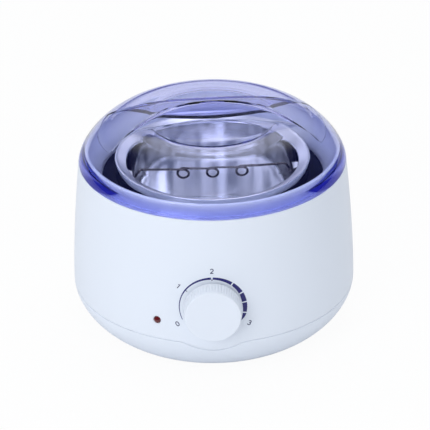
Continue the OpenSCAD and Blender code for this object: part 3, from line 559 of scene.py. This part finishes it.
def build_housing():
    housing = loop_solid("housing_skin", housing_section, WHITE)
    along_y = moved(0, 0, KNOB_Z) @ turned(90, "X")
    to_lamp = turned(LAMP_TURN, "Z") @ moved(0, 0, LAMP_Z) @ turned(90, "Y")
    to_gland = moved(0, 0, GLAND_Z) @ turned(-90, "X")
    front, back, dial = wall_r(LAMP_Z), wall_r(GLAND_Z), wall_r(KNOB_Z)
    pocket = back - GLAND_POCKET_D
    cut(housing, [
        rod("shaft_hole", SHAFT_HOLE_R, front - CUT_PAST, front + CUT_PAST, along_y),
        rod("lens_hole", LENS_HOLE_R, front - CUT_PAST, front + CUT_PAST, to_lamp,
            FINE_SIDES),
        rod("gland_hole", GLAND_HOLE_R, back - CUT_PAST, pocket + CUT_LAP, to_gland),
        rod("gland_pocket", GLAND_POCKET_R, pocket, back + CUT_PAST, to_gland),
    ])
    extras = []
    for (x, y), turn in zip(around(POST_TURNS, POST_R), POST_TURNS):
        extras += screw_boss(x, y, turn)
    inner = dial - WALL_T
    for x in (-BRACKET_X, BRACKET_X):
        extras.append(rod("bracket_post", BRACKET_POST_R, inner - BRACKET_GAP,
                          inner - BRACKET_POST_SHORT, along_y @ moved(x, 0, 0)))
    join(housing, extras)
    sharp_from(housing, WALL_SHARP)
    dress(housing, "base", "housing_shell")


def build_base():
    base = loop_solid("base_skin", base_section, WHITE)
    posts, feet = around(POST_TURNS, POST_R), around(FOOT_TURNS, FOOT_RING_R)
    cutters = [box("vent", (VENT_IN_R, -VENT_W / 2, 0), (VENT_OUT_R, VENT_W / 2, CUT_TOP_Z),
                   turned((i + 0.5) * 360 / VENT_COUNT, "Z")) for i in range(VENT_COUNT)]
    cutters += [rod("head_hole", HEAD_HOLE_R, 0, CUT_TOP_Z, moved(x, y, 0), FINE_SIDES)
                for x, y in posts]
    cutters += [rod("foot_pocket", FOOT_HOLE_R, 0, FOOT_GAP + FOOT_POCKET, moved(x, y, 0))
                for x, y in feet]
    cut(base, cutters)
    head_top, foot = FOOT_GAP + HEAD_RECESS, FLOOR_TOP - SINK
    outline = [(HEAD_HOLE_R, foot), (BOSS_R, foot), (BOSS_R, BOSS_FOOT_Z),
               (SCREW_HOLE_R, BOSS_FOOT_Z), (SCREW_HOLE_R, head_top), (HEAD_HOLE_R, head_top)]
    extras = [white_solid("post", outline, moved(x, y, 0)) for x, y in posts]
    extras.append(tube("lip", LIP_R - LIP_T, LIP_R, LIP_Z, LIP_TOP_Z, moved(0, 0, 0), SIDES))
    join(base, extras)
    sharp_from(base, WALL_SHARP)
    dress(base, "base", "base_cover")


# Funnel
RIM_H = 8.0
RIM_W = 1.8
FUNNEL_H = 19.3
FUNNEL_NECK_H = 3.0
FUNNEL_NECK_W = 0.3
FUNNEL_NECK_DROP = 0.2
FUNNEL_R = 70.0
FUNNEL_T = 2.2
FUNNEL_FIT = 0.2
FUNNEL_SHARP = 40
RING_BOSS_R = 2.9
RING_BOSS_H = 5.5
RING_BOSS_LAP = 0.3
RING_SCREW_TURNS = (45, 135, 225, 315)
RING_SCREW_R = FUNNEL_R + FUNNEL_T + RING_BOSS_R - RING_BOSS_LAP
RIM_Z = LEDGE_Z + RIM_H
FUNNEL_FOOT_Z = RIM_Z - FUNNEL_H
FUNNEL_NECK_Z = FUNNEL_FOOT_Z + FUNNEL_NECK_H


def build_funnel():
    fit_r, out_r = UPSTAND_IN_R - FUNNEL_FIT, FUNNEL_R + FUNNEL_T
    outline = rounded([
        (UPSTAND_R, UPSTAND_Z, 0),
        (UPSTAND_R, RIM_Z, 1.2),
        (UPSTAND_R - RIM_W, RIM_Z, 0.8),
        (FUNNEL_R + FUNNEL_NECK_W, FUNNEL_NECK_Z, 1.2),
        (FUNNEL_R, FUNNEL_FOOT_Z, 0.3),
        (out_r, FUNNEL_FOOT_Z, 0.3),
        (out_r, FUNNEL_NECK_Z - FUNNEL_NECK_DROP, 0.5),
        (fit_r, UPSTAND_Z - UPSTAND_T, 0),
        (fit_r, UPSTAND_Z, 0)])
    funnel = loop_solid("funnel_skin", lambda a: outline, WHITE)
    join(funnel, [tube("boss", PILOT_R, RING_BOSS_R, FUNNEL_FOOT_Z, FUNNEL_FOOT_Z + RING_BOSS_H,
                       moved(x, y, 0), FINE_SIDES)
                  for x, y in around(RING_SCREW_TURNS, RING_SCREW_R)])
    sharp_from(funnel, FUNNEL_SHARP)
    dress(funnel, "base", "funnel_ring")


# Wax pot
POT_CORNER = 9.0
POT_DISH_W = 6.4
POT_LIP_T = 1.0
POT_LIP_H = 4.8
POT_RIM_T = 2.0
POT_SEAT_W = 2.2
POT_SEAT_DROP = 3.8
POT_MOUTH_DROP = 2.8
POT_MOUTH_EASE = 0.8
POT_MOUTH_W = 0.6
POT_CREST_W = 0.6
POT_SKIN_GAP = 0.02
POT_CREST_R = POT_R + POT_DISH_W
POT_LIP_R = POT_CREST_R + POT_LIP_T
POT_SEAT_Z = POT_TOP_Z - POT_SEAT_DROP
POT_MOUTH_Z = POT_TOP_Z - POT_MOUTH_DROP
POT_SKIN_TOP_Z = POT_TOP_Z - POT_SKIN_GAP
POT_STEPS = 8
POT_SHARP = 50


def build_pot():
    out_r, lip_z, floor_z = POT_R + POT_T, POT_TOP_Z - POT_LIP_H, POT_FOOT_Z + POT_T
    outline = rounded([
        (0, POT_FOOT_Z, 0),
        (out_r, POT_FOOT_Z, POT_CORNER + POT_T),
        (out_r, POT_SEAT_Z, 0.2),
        (out_r + POT_SEAT_W, POT_SEAT_Z, 0.6),
        (POT_CREST_R, POT_TOP_Z - POT_RIM_T, 0.6),
        (POT_CREST_R, lip_z, 0.2),
        (POT_LIP_R, lip_z, 0.3),
        (POT_LIP_R, POT_SKIN_TOP_Z, 0.9),
        (POT_CREST_R - POT_CREST_W, POT_SKIN_TOP_Z, 1.2),
        (POT_R + POT_MOUTH_W, POT_MOUTH_Z, 0.7),
        (POT_R, POT_MOUTH_Z - POT_MOUTH_EASE, 0.5),
        (POT_R, floor_z, POT_CORNER),
        (0, floor_z, 0)], POT_STEPS)
    pot = loop_solid("pot_skin", lambda a: outline, SPUN)
    sharp_from(pot, POT_SHARP)
    dress(pot, "pot", "wax_pot")


# Wire bar
WIRE_R = 0.8
WIRE_SIDES = 14
WIRE_SHARP = 60
PIVOT_DROP = 13.5
BAR_RISE = 5.0
BAR_BEND = 2.7
TIP_GAP = 0.9
LUG_T = 3.2
LUG_GAP = 0.7
LEG_BEND_R = 1.4
LEG_BEND_STEPS = 8
BAR_BEND_R = 2.6
BAR_BEND_STEPS = 10
RING_R = 3.5
RING_PITCH = 18.6
RING_GAP = 0.5
RING_RUN = 6.0
RING_STEPS = 40
PIVOT_Z = POT_TOP_Z - PIVOT_DROP
BAR_Z = PIVOT_Z + BAR_RISE
TIP_X = POT_R - TIP_GAP
LEG_X = POT_R - LUG_T - WIRE_R - LUG_GAP
BAR_HALF = LEG_X - BAR_BEND
RING_SHIFT = 2 * WIRE_R + RING_GAP


def wire_ring(x):
    """Centre line of one ring, which moves aside by a little over the wire's width."""
    turns = [i / RING_STEPS for i in range(RING_STEPS + 1)]
    return [Vector((x + RING_R * math.sin(2 * math.pi * t), RING_SHIFT * (t - 0.5),
                    BAR_Z - RING_R + RING_R * math.cos(2 * math.pi * t))) for t in turns]


def wire_points():
    """The wire's centre line: pivot, leg, bar, three rings, and the same mirrored."""
    tip, foot = Vector((-TIP_X, 0, PIVOT_Z)), (-LEG_X, 0, PIVOT_Z)
    corner, inner = (-BAR_HALF, 0, BAR_Z), Vector((-RING_PITCH - RING_R - RING_RUN, 0, BAR_Z))
    left = [tip, *fillet(foot, tip, corner, LEG_BEND_R, LEG_BEND_STEPS)]
    left += [*fillet(corner, foot, inner, BAR_BEND_R, BAR_BEND_STEPS), inner]
    rings = wire_ring(-RING_PITCH) + wire_ring(0) + wire_ring(RING_PITCH)
    return left + rings + [Vector((-p.x, -p.y, p.z)) for p in reversed(left)]


def build_wire():
    points, sides = wire_points(), WIRE_SIDES
    last = len(points) - 1
    verts, faces = [], []
    side = Vector((0, 1, 0))
    for i, point in enumerate(points):
        run = (points[min(last, i + 1)] - points[max(0, i - 1)]).normalized()
        side = (side - run * side.dot(run)).normalized()
        other = run.cross(side)
        for k in range(sides):
            a = 2 * math.pi * k / sides
            verts.append(point + (side * math.cos(a) + other * math.sin(a)) * WIRE_R)
    for i in range(last):
        for k in range(sides):
            j = (k + 1) % sides
            faces.append([i * sides + k, i * sides + j, (i + 1) * sides + j, (i + 1) * sides + k])
    faces.append(list(range(sides)))
    faces.append([last * sides + k for k in range(sides)])
    wire = new_piece("wire_skin", verts, faces, WIRE)
    wire.data.transform(turned(POT_TURN, "Z"))
    sharp_from(wire, WIRE_SHARP)
    dress(wire, "wire", "wire_bar")


# Knob
KNOB_R = 17.0
KNOB_FLARE = 1.3
KNOB_WALL = 1.8
KNOB_FACE_T = 2.0
KNOB_PROUD = 0.35
KNOB_EASE = 0.25
KNOB_EDGE_R = 0.9
KNOB_EDGE_LEAN = 0.05
KNOB_EDGE_STEPS = 6
KNOB_SIDE_SHORT = 1.35
KNOB_SIDE_STEPS = 12
KNOB_FACE_RINGS = (12, 6, 0)
KNOB_SHARP = 40
FLUTES = 60
FLUTE_SIDES = 10
FLUTE_DEPTH = 0.35
FLUTE_FADES = (6, 5)
SPRING_T = 0.5
HUB_NECK_H = 4.6
HUB_SIDES = 96
SHAFT_R = 3.0
SHAFT_FLAT = 2.2
SHAFT_FIT = 0.05
BORE_R = SHAFT_R + SHAFT_FIT
BORE_FLAT = SHAFT_FLAT + SHAFT_FIT
HUB_NECK_R = HUB_R - SPRING_T
KNOB_SIDE_H = KNOB_LEN - KNOB_SIDE_SHORT
KNOB_BACK_Y = -(wall_r(KNOB_Z - KNOB_R - KNOB_FLARE) + KNOB_GAP)


def forward(r, a, h):
    """A point round the knob's axis, h in front of its back."""
    return (r * math.sin(a), KNOB_BACK_Y - h, KNOB_Z + r * math.cos(a))


def knob_side(a):
    """The knob's side from back to front; its flutes fade out at both ends."""
    flute = FLUTE_DEPTH * (0.5 + 0.5 * math.cos(FLUTES * a)) ** 3
    back_fade, front_fade = FLUTE_FADES
    side = []
    for i in range(KNOB_SIDE_STEPS + 1):
        t = i / KNOB_SIDE_STEPS
        fade = min(1.0, back_fade * t, front_fade * (1 - t))
        side.append((KNOB_R + KNOB_PROUD + (KNOB_FLARE - KNOB_PROUD) * (1 - t) - flute * fade,
                     KNOB_EASE + KNOB_SIDE_H * t))
    return side


def knob_section(a):
    inner, inside = KNOB_R - KNOB_WALL, KNOB_LEN - KNOB_FACE_T
    front_r = KNOB_R + KNOB_PROUD
    edge = fillet((front_r - KNOB_EDGE_LEAN, KNOB_LEN), (front_r, inside), (0, KNOB_LEN),
                  KNOB_EDGE_R, KNOB_EDGE_STEPS)
    return ([(inner, 0), (KNOB_R + KNOB_FLARE - KNOB_EASE, 0)] + knob_side(a) + edge
            + [(r, KNOB_LEN) for r in KNOB_FACE_RINGS] + [(0, inside), (inner, inside)])


def hub_section(a):
    """The hub round its bore, which has one flat at the top."""
    hole = BORE_R if math.cos(a) <= BORE_FLAT / BORE_R else BORE_FLAT / math.cos(a)
    return [(hole, 0), (HUB_NECK_R, 0), (HUB_NECK_R, HUB_NECK_H), (HUB_R, HUB_NECK_H),
            (HUB_R, KNOB_LEN - KNOB_FACE_T), (hole, KNOB_LEN - KNOB_FACE_T)]


def build_knob():
    knob = loop_solid("knob_skin", knob_section, WHITE, FLUTES * FLUTE_SIDES, forward)
    join(knob, [loop_solid("hub", hub_section, WHITE, HUB_SIDES, forward)])
    sharp_from(knob, KNOB_SHARP)
    dress(knob, "dial", "knob")


# Print round the dial: degrees clockwise from the top, and mm from the knob's axis
PROUD = 0.05
ARC_OUT = 20.95
ARC_WIDE = 3.2
ARC_THIN = 0.42
ARC_RUNS = ((-114.5, -2.9), (0.2, 35.0), (37.6, 60.0), (62.6, 79.8), (82.2, 100.8), (103.2, 120.5))
ARC_STEP = 1.5
ARC_LEAST_STEPS = 4
ARC_GROWTH = 205
ARC_GROWTH_POWER = 1.6
ARC_END_LOSS = 0.5
ARC_END_POWER = 1.5
SPUR_TURN = -1.3
SPUR_RADII = (19.6, 18.9)
SPUR_W = 0.8
TICK_TURN = -55.2
TICK_RADII = (ARC_OUT - 0.2, ARC_OUT - 1.9)
TICK_W = 0.4
NUMBER_RING = 25.1
NUMBER_H = 3.3
NUMBER_STROKE = 0.56
NUMBERS = (("0", -118.7, -28), ("1", -56.2, 38), ("2", -1.1, 0), ("3", 117.7, 25))


def on_wall(x, z, lift):
    """The point of the housing's front at x and z from the knob's axis, lifted off the wall."""
    r = wall_r(KNOB_Z + z) + lift
    return (x, -math.sqrt(r * r - x * x), KNOB_Z + z)


def dial_point(turn, radius):
    a = math.radians(turn)
    return Vector((radius * math.sin(a), radius * math.cos(a)))


def band(verts, faces, left, right):
    """Adds one thin printed band whose edges are two rows of points."""
    first = len(verts)
    for p, q in zip(left, right):
        verts.extend(on_wall(*w, lift) for lift in (PROUD, -PROUD) for w in (p, q))
    for i in range(len(left) - 1):
        a, b = first + 4 * i, first + 4 * (i + 1)
        faces.extend([[a, a + 1, b + 1, b], [a + 2, b + 2, b + 3, a + 3],
                      [a, b, b + 2, a + 2], [a + 1, a + 3, b + 3, b + 1]])
    end = first + 4 * (len(left) - 1)
    faces.extend([[first, first + 2, first + 3, first + 1], [end, end + 1, end + 3, end + 2]])


def stroke(verts, faces, points, width):
    """Adds a band of one width along a line of points."""
    left, right, last = [], [], len(points) - 1
    for i, p in enumerate(points):
        run = (points[min(last, i + 1)] - points[max(0, i - 1)]).normalized()
        across = Vector((-run.y, run.x)) * width / 2
        left.append(p + across)
        right.append(p - across)
    band(verts, faces, left, right)


def arc_width(turn):
    """The arc widens along its way and narrows again over its last run."""
    start, last, stop = ARC_RUNS[0][0], *ARC_RUNS[-1]
    grown = min(1.0, (turn - start) / ARC_GROWTH)
    width = ARC_THIN + (ARC_WIDE - ARC_THIN) * grown ** ARC_GROWTH_POWER
    ended = max(0.0, (turn - last) / (stop - last))
    return width * (1 - ARC_END_LOSS * ended ** ARC_END_POWER)


def build_arc():
    """The arc's runs share their outer edge, apart from the last, which narrows from outside."""
    verts, faces = [], []
    inner_end = ARC_OUT - ARC_WIDE
    for start, stop in ARC_RUNS:
        steps = max(ARC_LEAST_STEPS, int((stop - start) / ARC_STEP))
        turns = [start + (stop - start) * i / steps for i in range(steps + 1)]
        last = start == ARC_RUNS[-1][0]
        outer = [(inner_end + arc_width(t)) if last else ARC_OUT for t in turns]
        left = [dial_point(t, r) for t, r in zip(turns, outer)]
        right = [dial_point(t, r - arc_width(t)) for t, r in zip(turns, outer)]
        band(verts, faces, left, right)
    stroke(verts, faces, [dial_point(SPUR_TURN, r) for r in SPUR_RADII], SPUR_W)
    arc = new_piece("dial_arc", verts, faces, INK, smooth=False)
    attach(arc, "base")


def oval(cx, cy, rx, ry, start, stop, steps):
    """Points of an oval's arc; angles in degrees, clockwise from the top."""
    return [Vector((cx + rx * math.sin(math.radians(t)), cy + ry * math.cos(math.radians(t))))
            for t in (start + (stop - start) * i / steps for i in range(steps + 1))]


def number_lines(kind):
    """Lines of one number in a cell 1 high, centred on the origin."""
    if kind == "0":
        return [oval(0, 0, 0.27, 0.44, 0, 360, 28)]
    if kind == "1":
        return [[Vector(p) for p in ((-0.24, 0.20), (0.04, 0.44), (0.04, 0.0), (0.04, -0.5))]]
    if kind == "2":
        top = oval(0, 0.18, 0.26, 0.26, -75, 120, 14)
        return [top + [Vector((-0.28, -0.44))], [Vector((-0.30, -0.43)), Vector((0.30, -0.43))]]
    return [oval(0, 0.21, 0.23, 0.23, -70, 185, 14), oval(0, -0.20, 0.27, 0.25, 0, 250, 16)]


def build_marks():
    verts, faces = [], []
    stroke(verts, faces, [dial_point(TICK_TURN, r) for r in TICK_RADII], TICK_W)
    for kind, turn, lean in NUMBERS:
        middle, a = dial_point(turn, NUMBER_RING), math.radians(-lean)
        for line in number_lines(kind):
            placed = [middle + Vector((p.x * math.cos(a) - p.y * math.sin(a),
                                       p.x * math.sin(a) + p.y * math.cos(a))) * NUMBER_H
                      for p in line]
            stroke(verts, faces, placed, NUMBER_STROKE)
    marks = new_piece("dial_numbers", verts, faces, INK_GREY, smooth=False)
    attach(marks, "base")


# Lid: heights H are from the ledge, and the handle's sides are arcs of radius SIDE_R
LID_SET_BACK = 0.1
LID_GAP = 0.4
LID_LIFT = 0.08
LID_T = 2.0
LID_TOP_H = 28.2
CROWN_W = 31.6
CROWN_POWER = 1.5
DISH_R = 40.8
DISH_EDGE = 1.4
DISH_H = 0.8
HANDLE_H = 40.7
HANDLE_HALF = 3.2
HANDLE_LEAST_HALF = 0.6
HANDLE_END = 16.6
HANDLE_ROUND = 1.2
SIDE_R = 100.0
DRAFT = 1.7
RIDGE_POWER = 2.4
RIDGE_DROP = 19.25
SKIRT_WALL_H = 4.0
LID_R = LEDGE_R - LID_SET_BACK
LID_IN_R = UPSTAND_R + LID_GAP
LID_TOP_R = LID_R - CROWN_W
LID_FOOT_Z = LEDGE_Z + LID_LIFT
HANDLE_END_R = LID_R - HANDLE_END

# Lid: where space is short, the most that each takes of what there is
HALF_OF_REACH = 0.9
LEAN_OF_ROOM = 0.6
FLAT_LEAN = 1.0
FLAT_OF_ROOM = 0.3
ROUND_OF_HEIGHT = 0.45
ROUND_OF_HALF = 0.4

# Lid: the grid under the handle, the rings below it, and their steps
GRID_R = 71.0
GRID_COLUMNS = 120
LEAST_STEP = 0.01
MARK_STEP = 0.02
BACK_STEPS = 6
EDGE_STEPS = 4
CROWN_STEPS = (5, 3, 3, 6)
SKIRT_RINGS = 26
SKIRT_POWER = 1.8
LID_SHARP = 60


def crown_z(r, inset):
    """Height of the lid's crown at radius r."""
    top, rim = LID_TOP_H - inset, LID_R - inset
    if r < DISH_R:
        return LEDGE_Z + top - DISH_H * min(1.0, (DISH_R - r) / DISH_EDGE)
    u = min(1.0, max(0.0, (r - LID_TOP_R) / (rim - LID_TOP_R)))
    return max(LID_FOOT_Z, LEDGE_Z + top * (1 - u ** CROWN_POWER) ** (1 / CROWN_POWER))


def ridge_z(r, inset):
    """Height of the handle's back at radius r."""
    return LEDGE_Z + HANDLE_H - inset - RIDGE_DROP * (r / HANDLE_END_R) ** RIDGE_POWER


def lid_z(x, y, inset):
    """Height of the crown or, where it is higher, of the handle's back."""
    r = math.hypot(x, y)
    return max(ridge_z(r, inset), crown_z(r, inset))


def handle_edges(x, reach, inset):
    """The handle's half width on its back and at its foot, and its height, at one place."""
    half = HANDLE_HALF + SIDE_R - math.sqrt(SIDE_R ** 2 - x * x) - inset
    half = min(max(HANDLE_LEAST_HALF, half), reach * HALF_OF_REACH)
    room = reach - half
    r = math.hypot(x, half)
    tall = max(0.0, ridge_z(r, inset) - crown_z(r, inset))
    if tall > 0:
        lean = min(DRAFT * tall / (HANDLE_H - LID_TOP_H) + MARK_STEP, LEAN_OF_ROOM * room)
    else:
        lean = min(FLAT_LEAN, FLAT_OF_ROOM * room)
    return half, half + lean, tall


def handle_points(x, half, foot, tall, inset):
    """Points (y, z) over the handle's back, down its side and onto the crown, and the last y."""
    run = min(HANDLE_ROUND, ROUND_OF_HEIGHT * tall, ROUND_OF_HALF * half)
    step = max(run, LEAST_STEP)
    high = lid_z(x, half, inset)
    top, low = Vector((half, high)), Vector((foot, crown_z(math.hypot(x, foot), inset)))
    out = Vector((foot + step, crown_z(math.hypot(x, foot + step), inset)))
    down = (low - top).normalized()
    p, q = top + down * run, low - down * run
    back = [(half * i / BACK_STEPS, lid_z(x, half * i / BACK_STEPS, inset))
            for i in range(BACK_STEPS)]
    side = [p.lerp(q, i / EDGE_STEPS) for i in range(1, EDGE_STEPS)]
    start = Vector((half - step, high))
    points = back + curve(start, top, p, EDGE_STEPS) + side + curve(q, low, out, EDGE_STEPS)
    return points, foot + step


def lid_section(x, inset):
    """Points (y, z) across the lid at one place along the handle, from the middle out."""
    reach = math.sqrt(max(0.0, GRID_R ** 2 - x * x))
    points, out = handle_points(x, *handle_edges(x, reach, inset), inset)
    marks = [out]
    for r in (DISH_R - DISH_EDGE, DISH_R, LID_TOP_R):
        marks.append(max(marks[-1] + MARK_STEP, math.sqrt(max(0.0, r * r - x * x))))
    marks = [min(y, reach) for y in marks] + [reach]
    for low_y, high_y, count in zip(marks, marks[1:], CROWN_STEPS):
        for i in range(1, count + 1):
            y = low_y + (high_y - low_y) * i / count
            points.append((y, crown_z(math.hypot(x, y), inset)))
    return points


def lid_skirt(inset):
    """Rings (r, z) below the grid; the inner skin ends in an upright wall at the foot."""
    reach, power = (LID_IN_R, 1.0) if inset else (LID_R, SKIRT_POWER)
    rings = []
    for i in range(1, SKIRT_RINGS + 1):
        r = GRID_R + (reach - GRID_R) * (1 - (1 - i / SKIRT_RINGS) ** power)
        rings.append((r, crown_z(r, inset)))
    if inset:
        rings += [(reach, LEDGE_Z + SKIRT_WALL_H), (reach, LID_FOOT_Z)]
    return rings


def lid_grid(inset, verts, faces):
    """Adds the grid of sections to one side of the lid; returns the ring round it."""
    ends, grid = [], []
    for x in (-GRID_R, GRID_R):
        ends.append(len(verts))
        verts.append((x, 0, crown_z(GRID_R, inset)))
    for c in range(1, GRID_COLUMNS):
        x = -GRID_R * math.cos(math.pi * c / GRID_COLUMNS)
        section = lid_section(x, inset)
        row = [(x, -y, z) for y, z in reversed(section[1:])] + [(x, y, z) for y, z in section]
        grid.append(list(range(len(verts), len(verts) + len(row))))
        verts.extend(row)
    for a, b in zip(grid, grid[1:]):
        for k in range(len(a) - 1):
            faces.append([a[k], b[k], b[k + 1], a[k + 1]])
    for end, row in ((ends[0], grid[0]), (ends[1], grid[-1])):
        for k in range(len(row) - 1):
            faces.append([end, row[k], row[k + 1]])
    return [ends[0]] + [row[0] for row in grid] + [ends[1]] + [row[-1] for row in reversed(grid)]


def bridge(faces, ring, new):
    """Adds the faces between two rings of as many points."""
    for k in range(len(ring)):
        j = (k + 1) % len(ring)
        faces.append([ring[k], ring[j], new[j], new[k]])


def lid_side(inset, verts, faces):
    """Adds one side of the lid; returns its lowest ring."""
    ring = lid_grid(inset, verts, faces)
    for r, z in lid_skirt(inset):
        new = []
        for v in ring:
            x, y = verts[v][0], verts[v][1]
            scale = r / math.hypot(x, y)
            new.append(len(verts))
            verts.append((x * scale, y * scale, z))
        bridge(faces, ring, new)
        ring = new
    return ring


def build_lid():
    verts, faces = [], []
    outer_foot = lid_side(0, verts, faces)
    inner_foot = lid_side(LID_T, verts, faces)
    bridge(faces, outer_foot, inner_foot)
    lid = new_piece("lid_clear", verts, faces, TINT)
    lid.data.transform(turned(POT_TURN, "Z"))
    sharp_from(lid, LID_SHARP)
    dress(lid, "cover", "lid")


# Floor
FLOOR_SIZE = 12
FLOOR_COLOUR = (0.9, 0.91, 0.93, 1)
FLOOR_GLOW = 0.94


def floor():
    """A pale floor, nearly white to the camera and through the lid, that keeps the shadow."""
    bpy.ops.mesh.primitive_plane_add(size=FLOOR_SIZE, location=(0, 0, 0))
    plane = bpy.context.object
    plane.name = "floor"
    m = Finish("floor_white")
    m.set(Base_Color=FLOOR_COLOUR, Roughness=0.9)
    glow = m.add("ShaderNodeEmission", Color=(1, 1, 1, 1))
    path = m.add("ShaderNodeLightPath")
    seen = m.calc("MAXIMUM", path.outputs["Is Camera Ray"], path.outputs["Is Transmission Ray"])
    share = m.calc("MULTIPLY", seen, FLOOR_GLOW)
    m.link(m.mix(share, m.bsdf.outputs[0], glow.outputs[0]), m.out.inputs["Surface"])
    plane.data.materials.append(m.mat)


# Light: the room's colours and strengths, and the values between which its bands change
WHITE_LIGHT = (1.0, 1.0, 1.0)
ROOM_COLOUR = (0.95, 0.975, 1.0)
ROOM_STRENGTH = 0.72
INSIDE_STRENGTH = 2.4
BACKDROP_WAY = (0, 0.8, 0.6)
BACKDROP_EDGE = (0.80, 0.95)
BACKDROP_DARK = (0.05, 0.06, 0.10)
VIOLET_EDGE = (0.82, 0.97)
VIOLET_DARK = (0.04, 0.04, 0.42)
STREAK_SCALE = 4.2
STREAK_STRETCH = (1, 1, 0.1)
STREAK_EDGE = (0.46, 0.58)
STREAK_DARK = (0.085, 0.12, 0.17)
STREAK_LIGHT = (1.85, 1.84, 1.78)

# A ray that has crossed more of the lid's faces than this has come back out from under it
FACES_CROSSED = 2.5

# Lamps: name, place and size in metres, and power
LAMPS = (("key", (-0.75, -1.35, 0.85), 1.0, 8.6), ("top", (0.1, 0.3, 1.4), 0.8, 3.0))
LAMP_AIM = (0, 0, 0.06)


class Room(Nodes):
    """The scene's world."""

    def __init__(self):
        world = bpy.data.worlds.new("studio")
        bpy.context.scene.world = world
        world.use_nodes = True
        super().__init__(world.node_tree, "Generated")
        self.tree.nodes.remove(self.tree.nodes["Background"])
        self.path = self.add("ShaderNodeLightPath").outputs

    def plain(self, colour, strength):
        return self.add("ShaderNodeBackground", Color=(*colour, 1), Strength=strength).outputs[0]

    def banded(self, value, edge, dark, light):
        """Light that goes from dark to light while a value crosses an edge."""
        shade = self.add("ShaderNodeBackground")
        self.link(self.ramp(value, dark, light, *edge), shade.inputs["Color"])
        return shade.outputs[0]

    def toward(self, way):
        """How near a direction is to this way."""
        near = self.add("ShaderNodeVectorMath", operation="DOT_PRODUCT")
        near.inputs[1].default_value = way
        self.link(self.add("ShaderNodeTexCoord").outputs[self.space], near.inputs[0])
        return near.outputs["Value"]

    def either(self, depth, none, some):
        """One light where a ray's depth is 0, and another where it is 1 or more."""
        return self.mix(self.calc("MINIMUM", depth, 1.0), none, some)


def area_lamp(name, place, size, power):
    """A round soft lamp that glossy rays don't see."""
    data = bpy.data.lights.new(name, "AREA")
    data.shape, data.size, data.energy = "DISK", size, power
    lamp = bpy.data.objects.new(name, data)
    bpy.context.scene.collection.objects.link(lamp)
    lamp.location = place
    lamp.rotation_euler = (Vector(LAMP_AIM) - Vector(place)).to_track_quat("-Z", "Y").to_euler()
    lamp.visible_glossy = False


def light():
    """A white room that each kind of ray sees in its own way.

    Glossy rays see a dark backdrop with one bright side. Through the lid, a plain ray sees white,
    one reflected in the lid sees a violet backdrop, one off the metal sees streaks, and one off a
    diffuse face sees a bright room.
    """
    room = Room()
    path = room.path
    white = room.plain(WHITE_LIGHT, 1.0)
    even = room.plain(ROOM_COLOUR, ROOM_STRENGTH)
    inside = room.plain(ROOM_COLOUR, INSIDE_STRENGTH)
    near = room.toward(BACKDROP_WAY)
    dim = room.banded(near, VIOLET_EDGE, VIOLET_DARK, WHITE_LIGHT)
    backdrop = room.banded(near, BACKDROP_EDGE, BACKDROP_DARK, WHITE_LIGHT)
    streaks = room.banded(room.noise(STREAK_SCALE, STREAK_STRETCH, 1.0), STREAK_EDGE,
                          STREAK_DARK, STREAK_LIGHT)
    back_out = room.calc("GREATER_THAN", path["Transmission Depth"], FACES_CROSSED)
    off_metal = room.calc("MULTIPLY", path["Glossy Depth"], back_out)
    clear = room.either(path["Glossy Depth"], white, dim)
    through = room.either(path["Diffuse Depth"], room.either(off_metal, clear, streaks), inside)
    outside = room.either(path["Is Glossy Ray"], even, backdrop)
    other = room.either(path["Is Transmission Ray"], outside, through)
    seen = room.either(path["Is Camera Ray"], other, white)
    room.link(seen, room.tree.nodes["World Output"].inputs["Surface"])
    for lamp in LAMPS:
        area_lamp(*lamp)


# Camera, worked out from the photograph's ellipses: aim in mm, distance in metres
AIM_Z = 72
ELEVATION = 28.3
AZIMUTH = 0.55
ROLL = 0.8
DISTANCE = 1.5
SENSOR_MM = 36
FRAME_PX = 430
FOCAL_PX = 2340
CENTRE_PX = (213.1, 211.5)


def camera():
    """The photograph's camera: a long lens from the front, well above the rim."""
    target = Vector((0, 0, AIM_Z)) * MM
    elevation = math.radians(ELEVATION)
    data = bpy.data.cameras.new("photo_camera")
    data.sensor_width = SENSOR_MM
    data.lens = FOCAL_PX * data.sensor_width / FRAME_PX
    data.shift_x = (FRAME_PX / 2 - CENTRE_PX[0]) / FRAME_PX
    data.shift_y = (CENTRE_PX[1] - FRAME_PX / 2) / FRAME_PX
    data.clip_start, data.clip_end = 0.05, 20
    cam = bpy.data.objects.new("photo_camera", data)
    bpy.context.scene.collection.objects.link(cam)
    aside = turned(AZIMUTH, "Z")
    place = target + aside @ Vector((0, -math.cos(elevation), math.sin(elevation))) * DISTANCE
    tilt = Matrix.Rotation(math.pi / 2 - elevation, 4, "X") @ turned(-ROLL, "Z")
    cam.matrix_world = Matrix.Translation(place) @ aside @ tilt
    bpy.context.scene.camera = cam


finish_nodes()
build_housing()
build_base()
build_funnel()
build_pot()
build_wire()
build_knob()
build_arc()
build_marks()
build_lid()
floor()
light()
camera()
bpy.context.scene.view_settings.view_transform = "Standard"
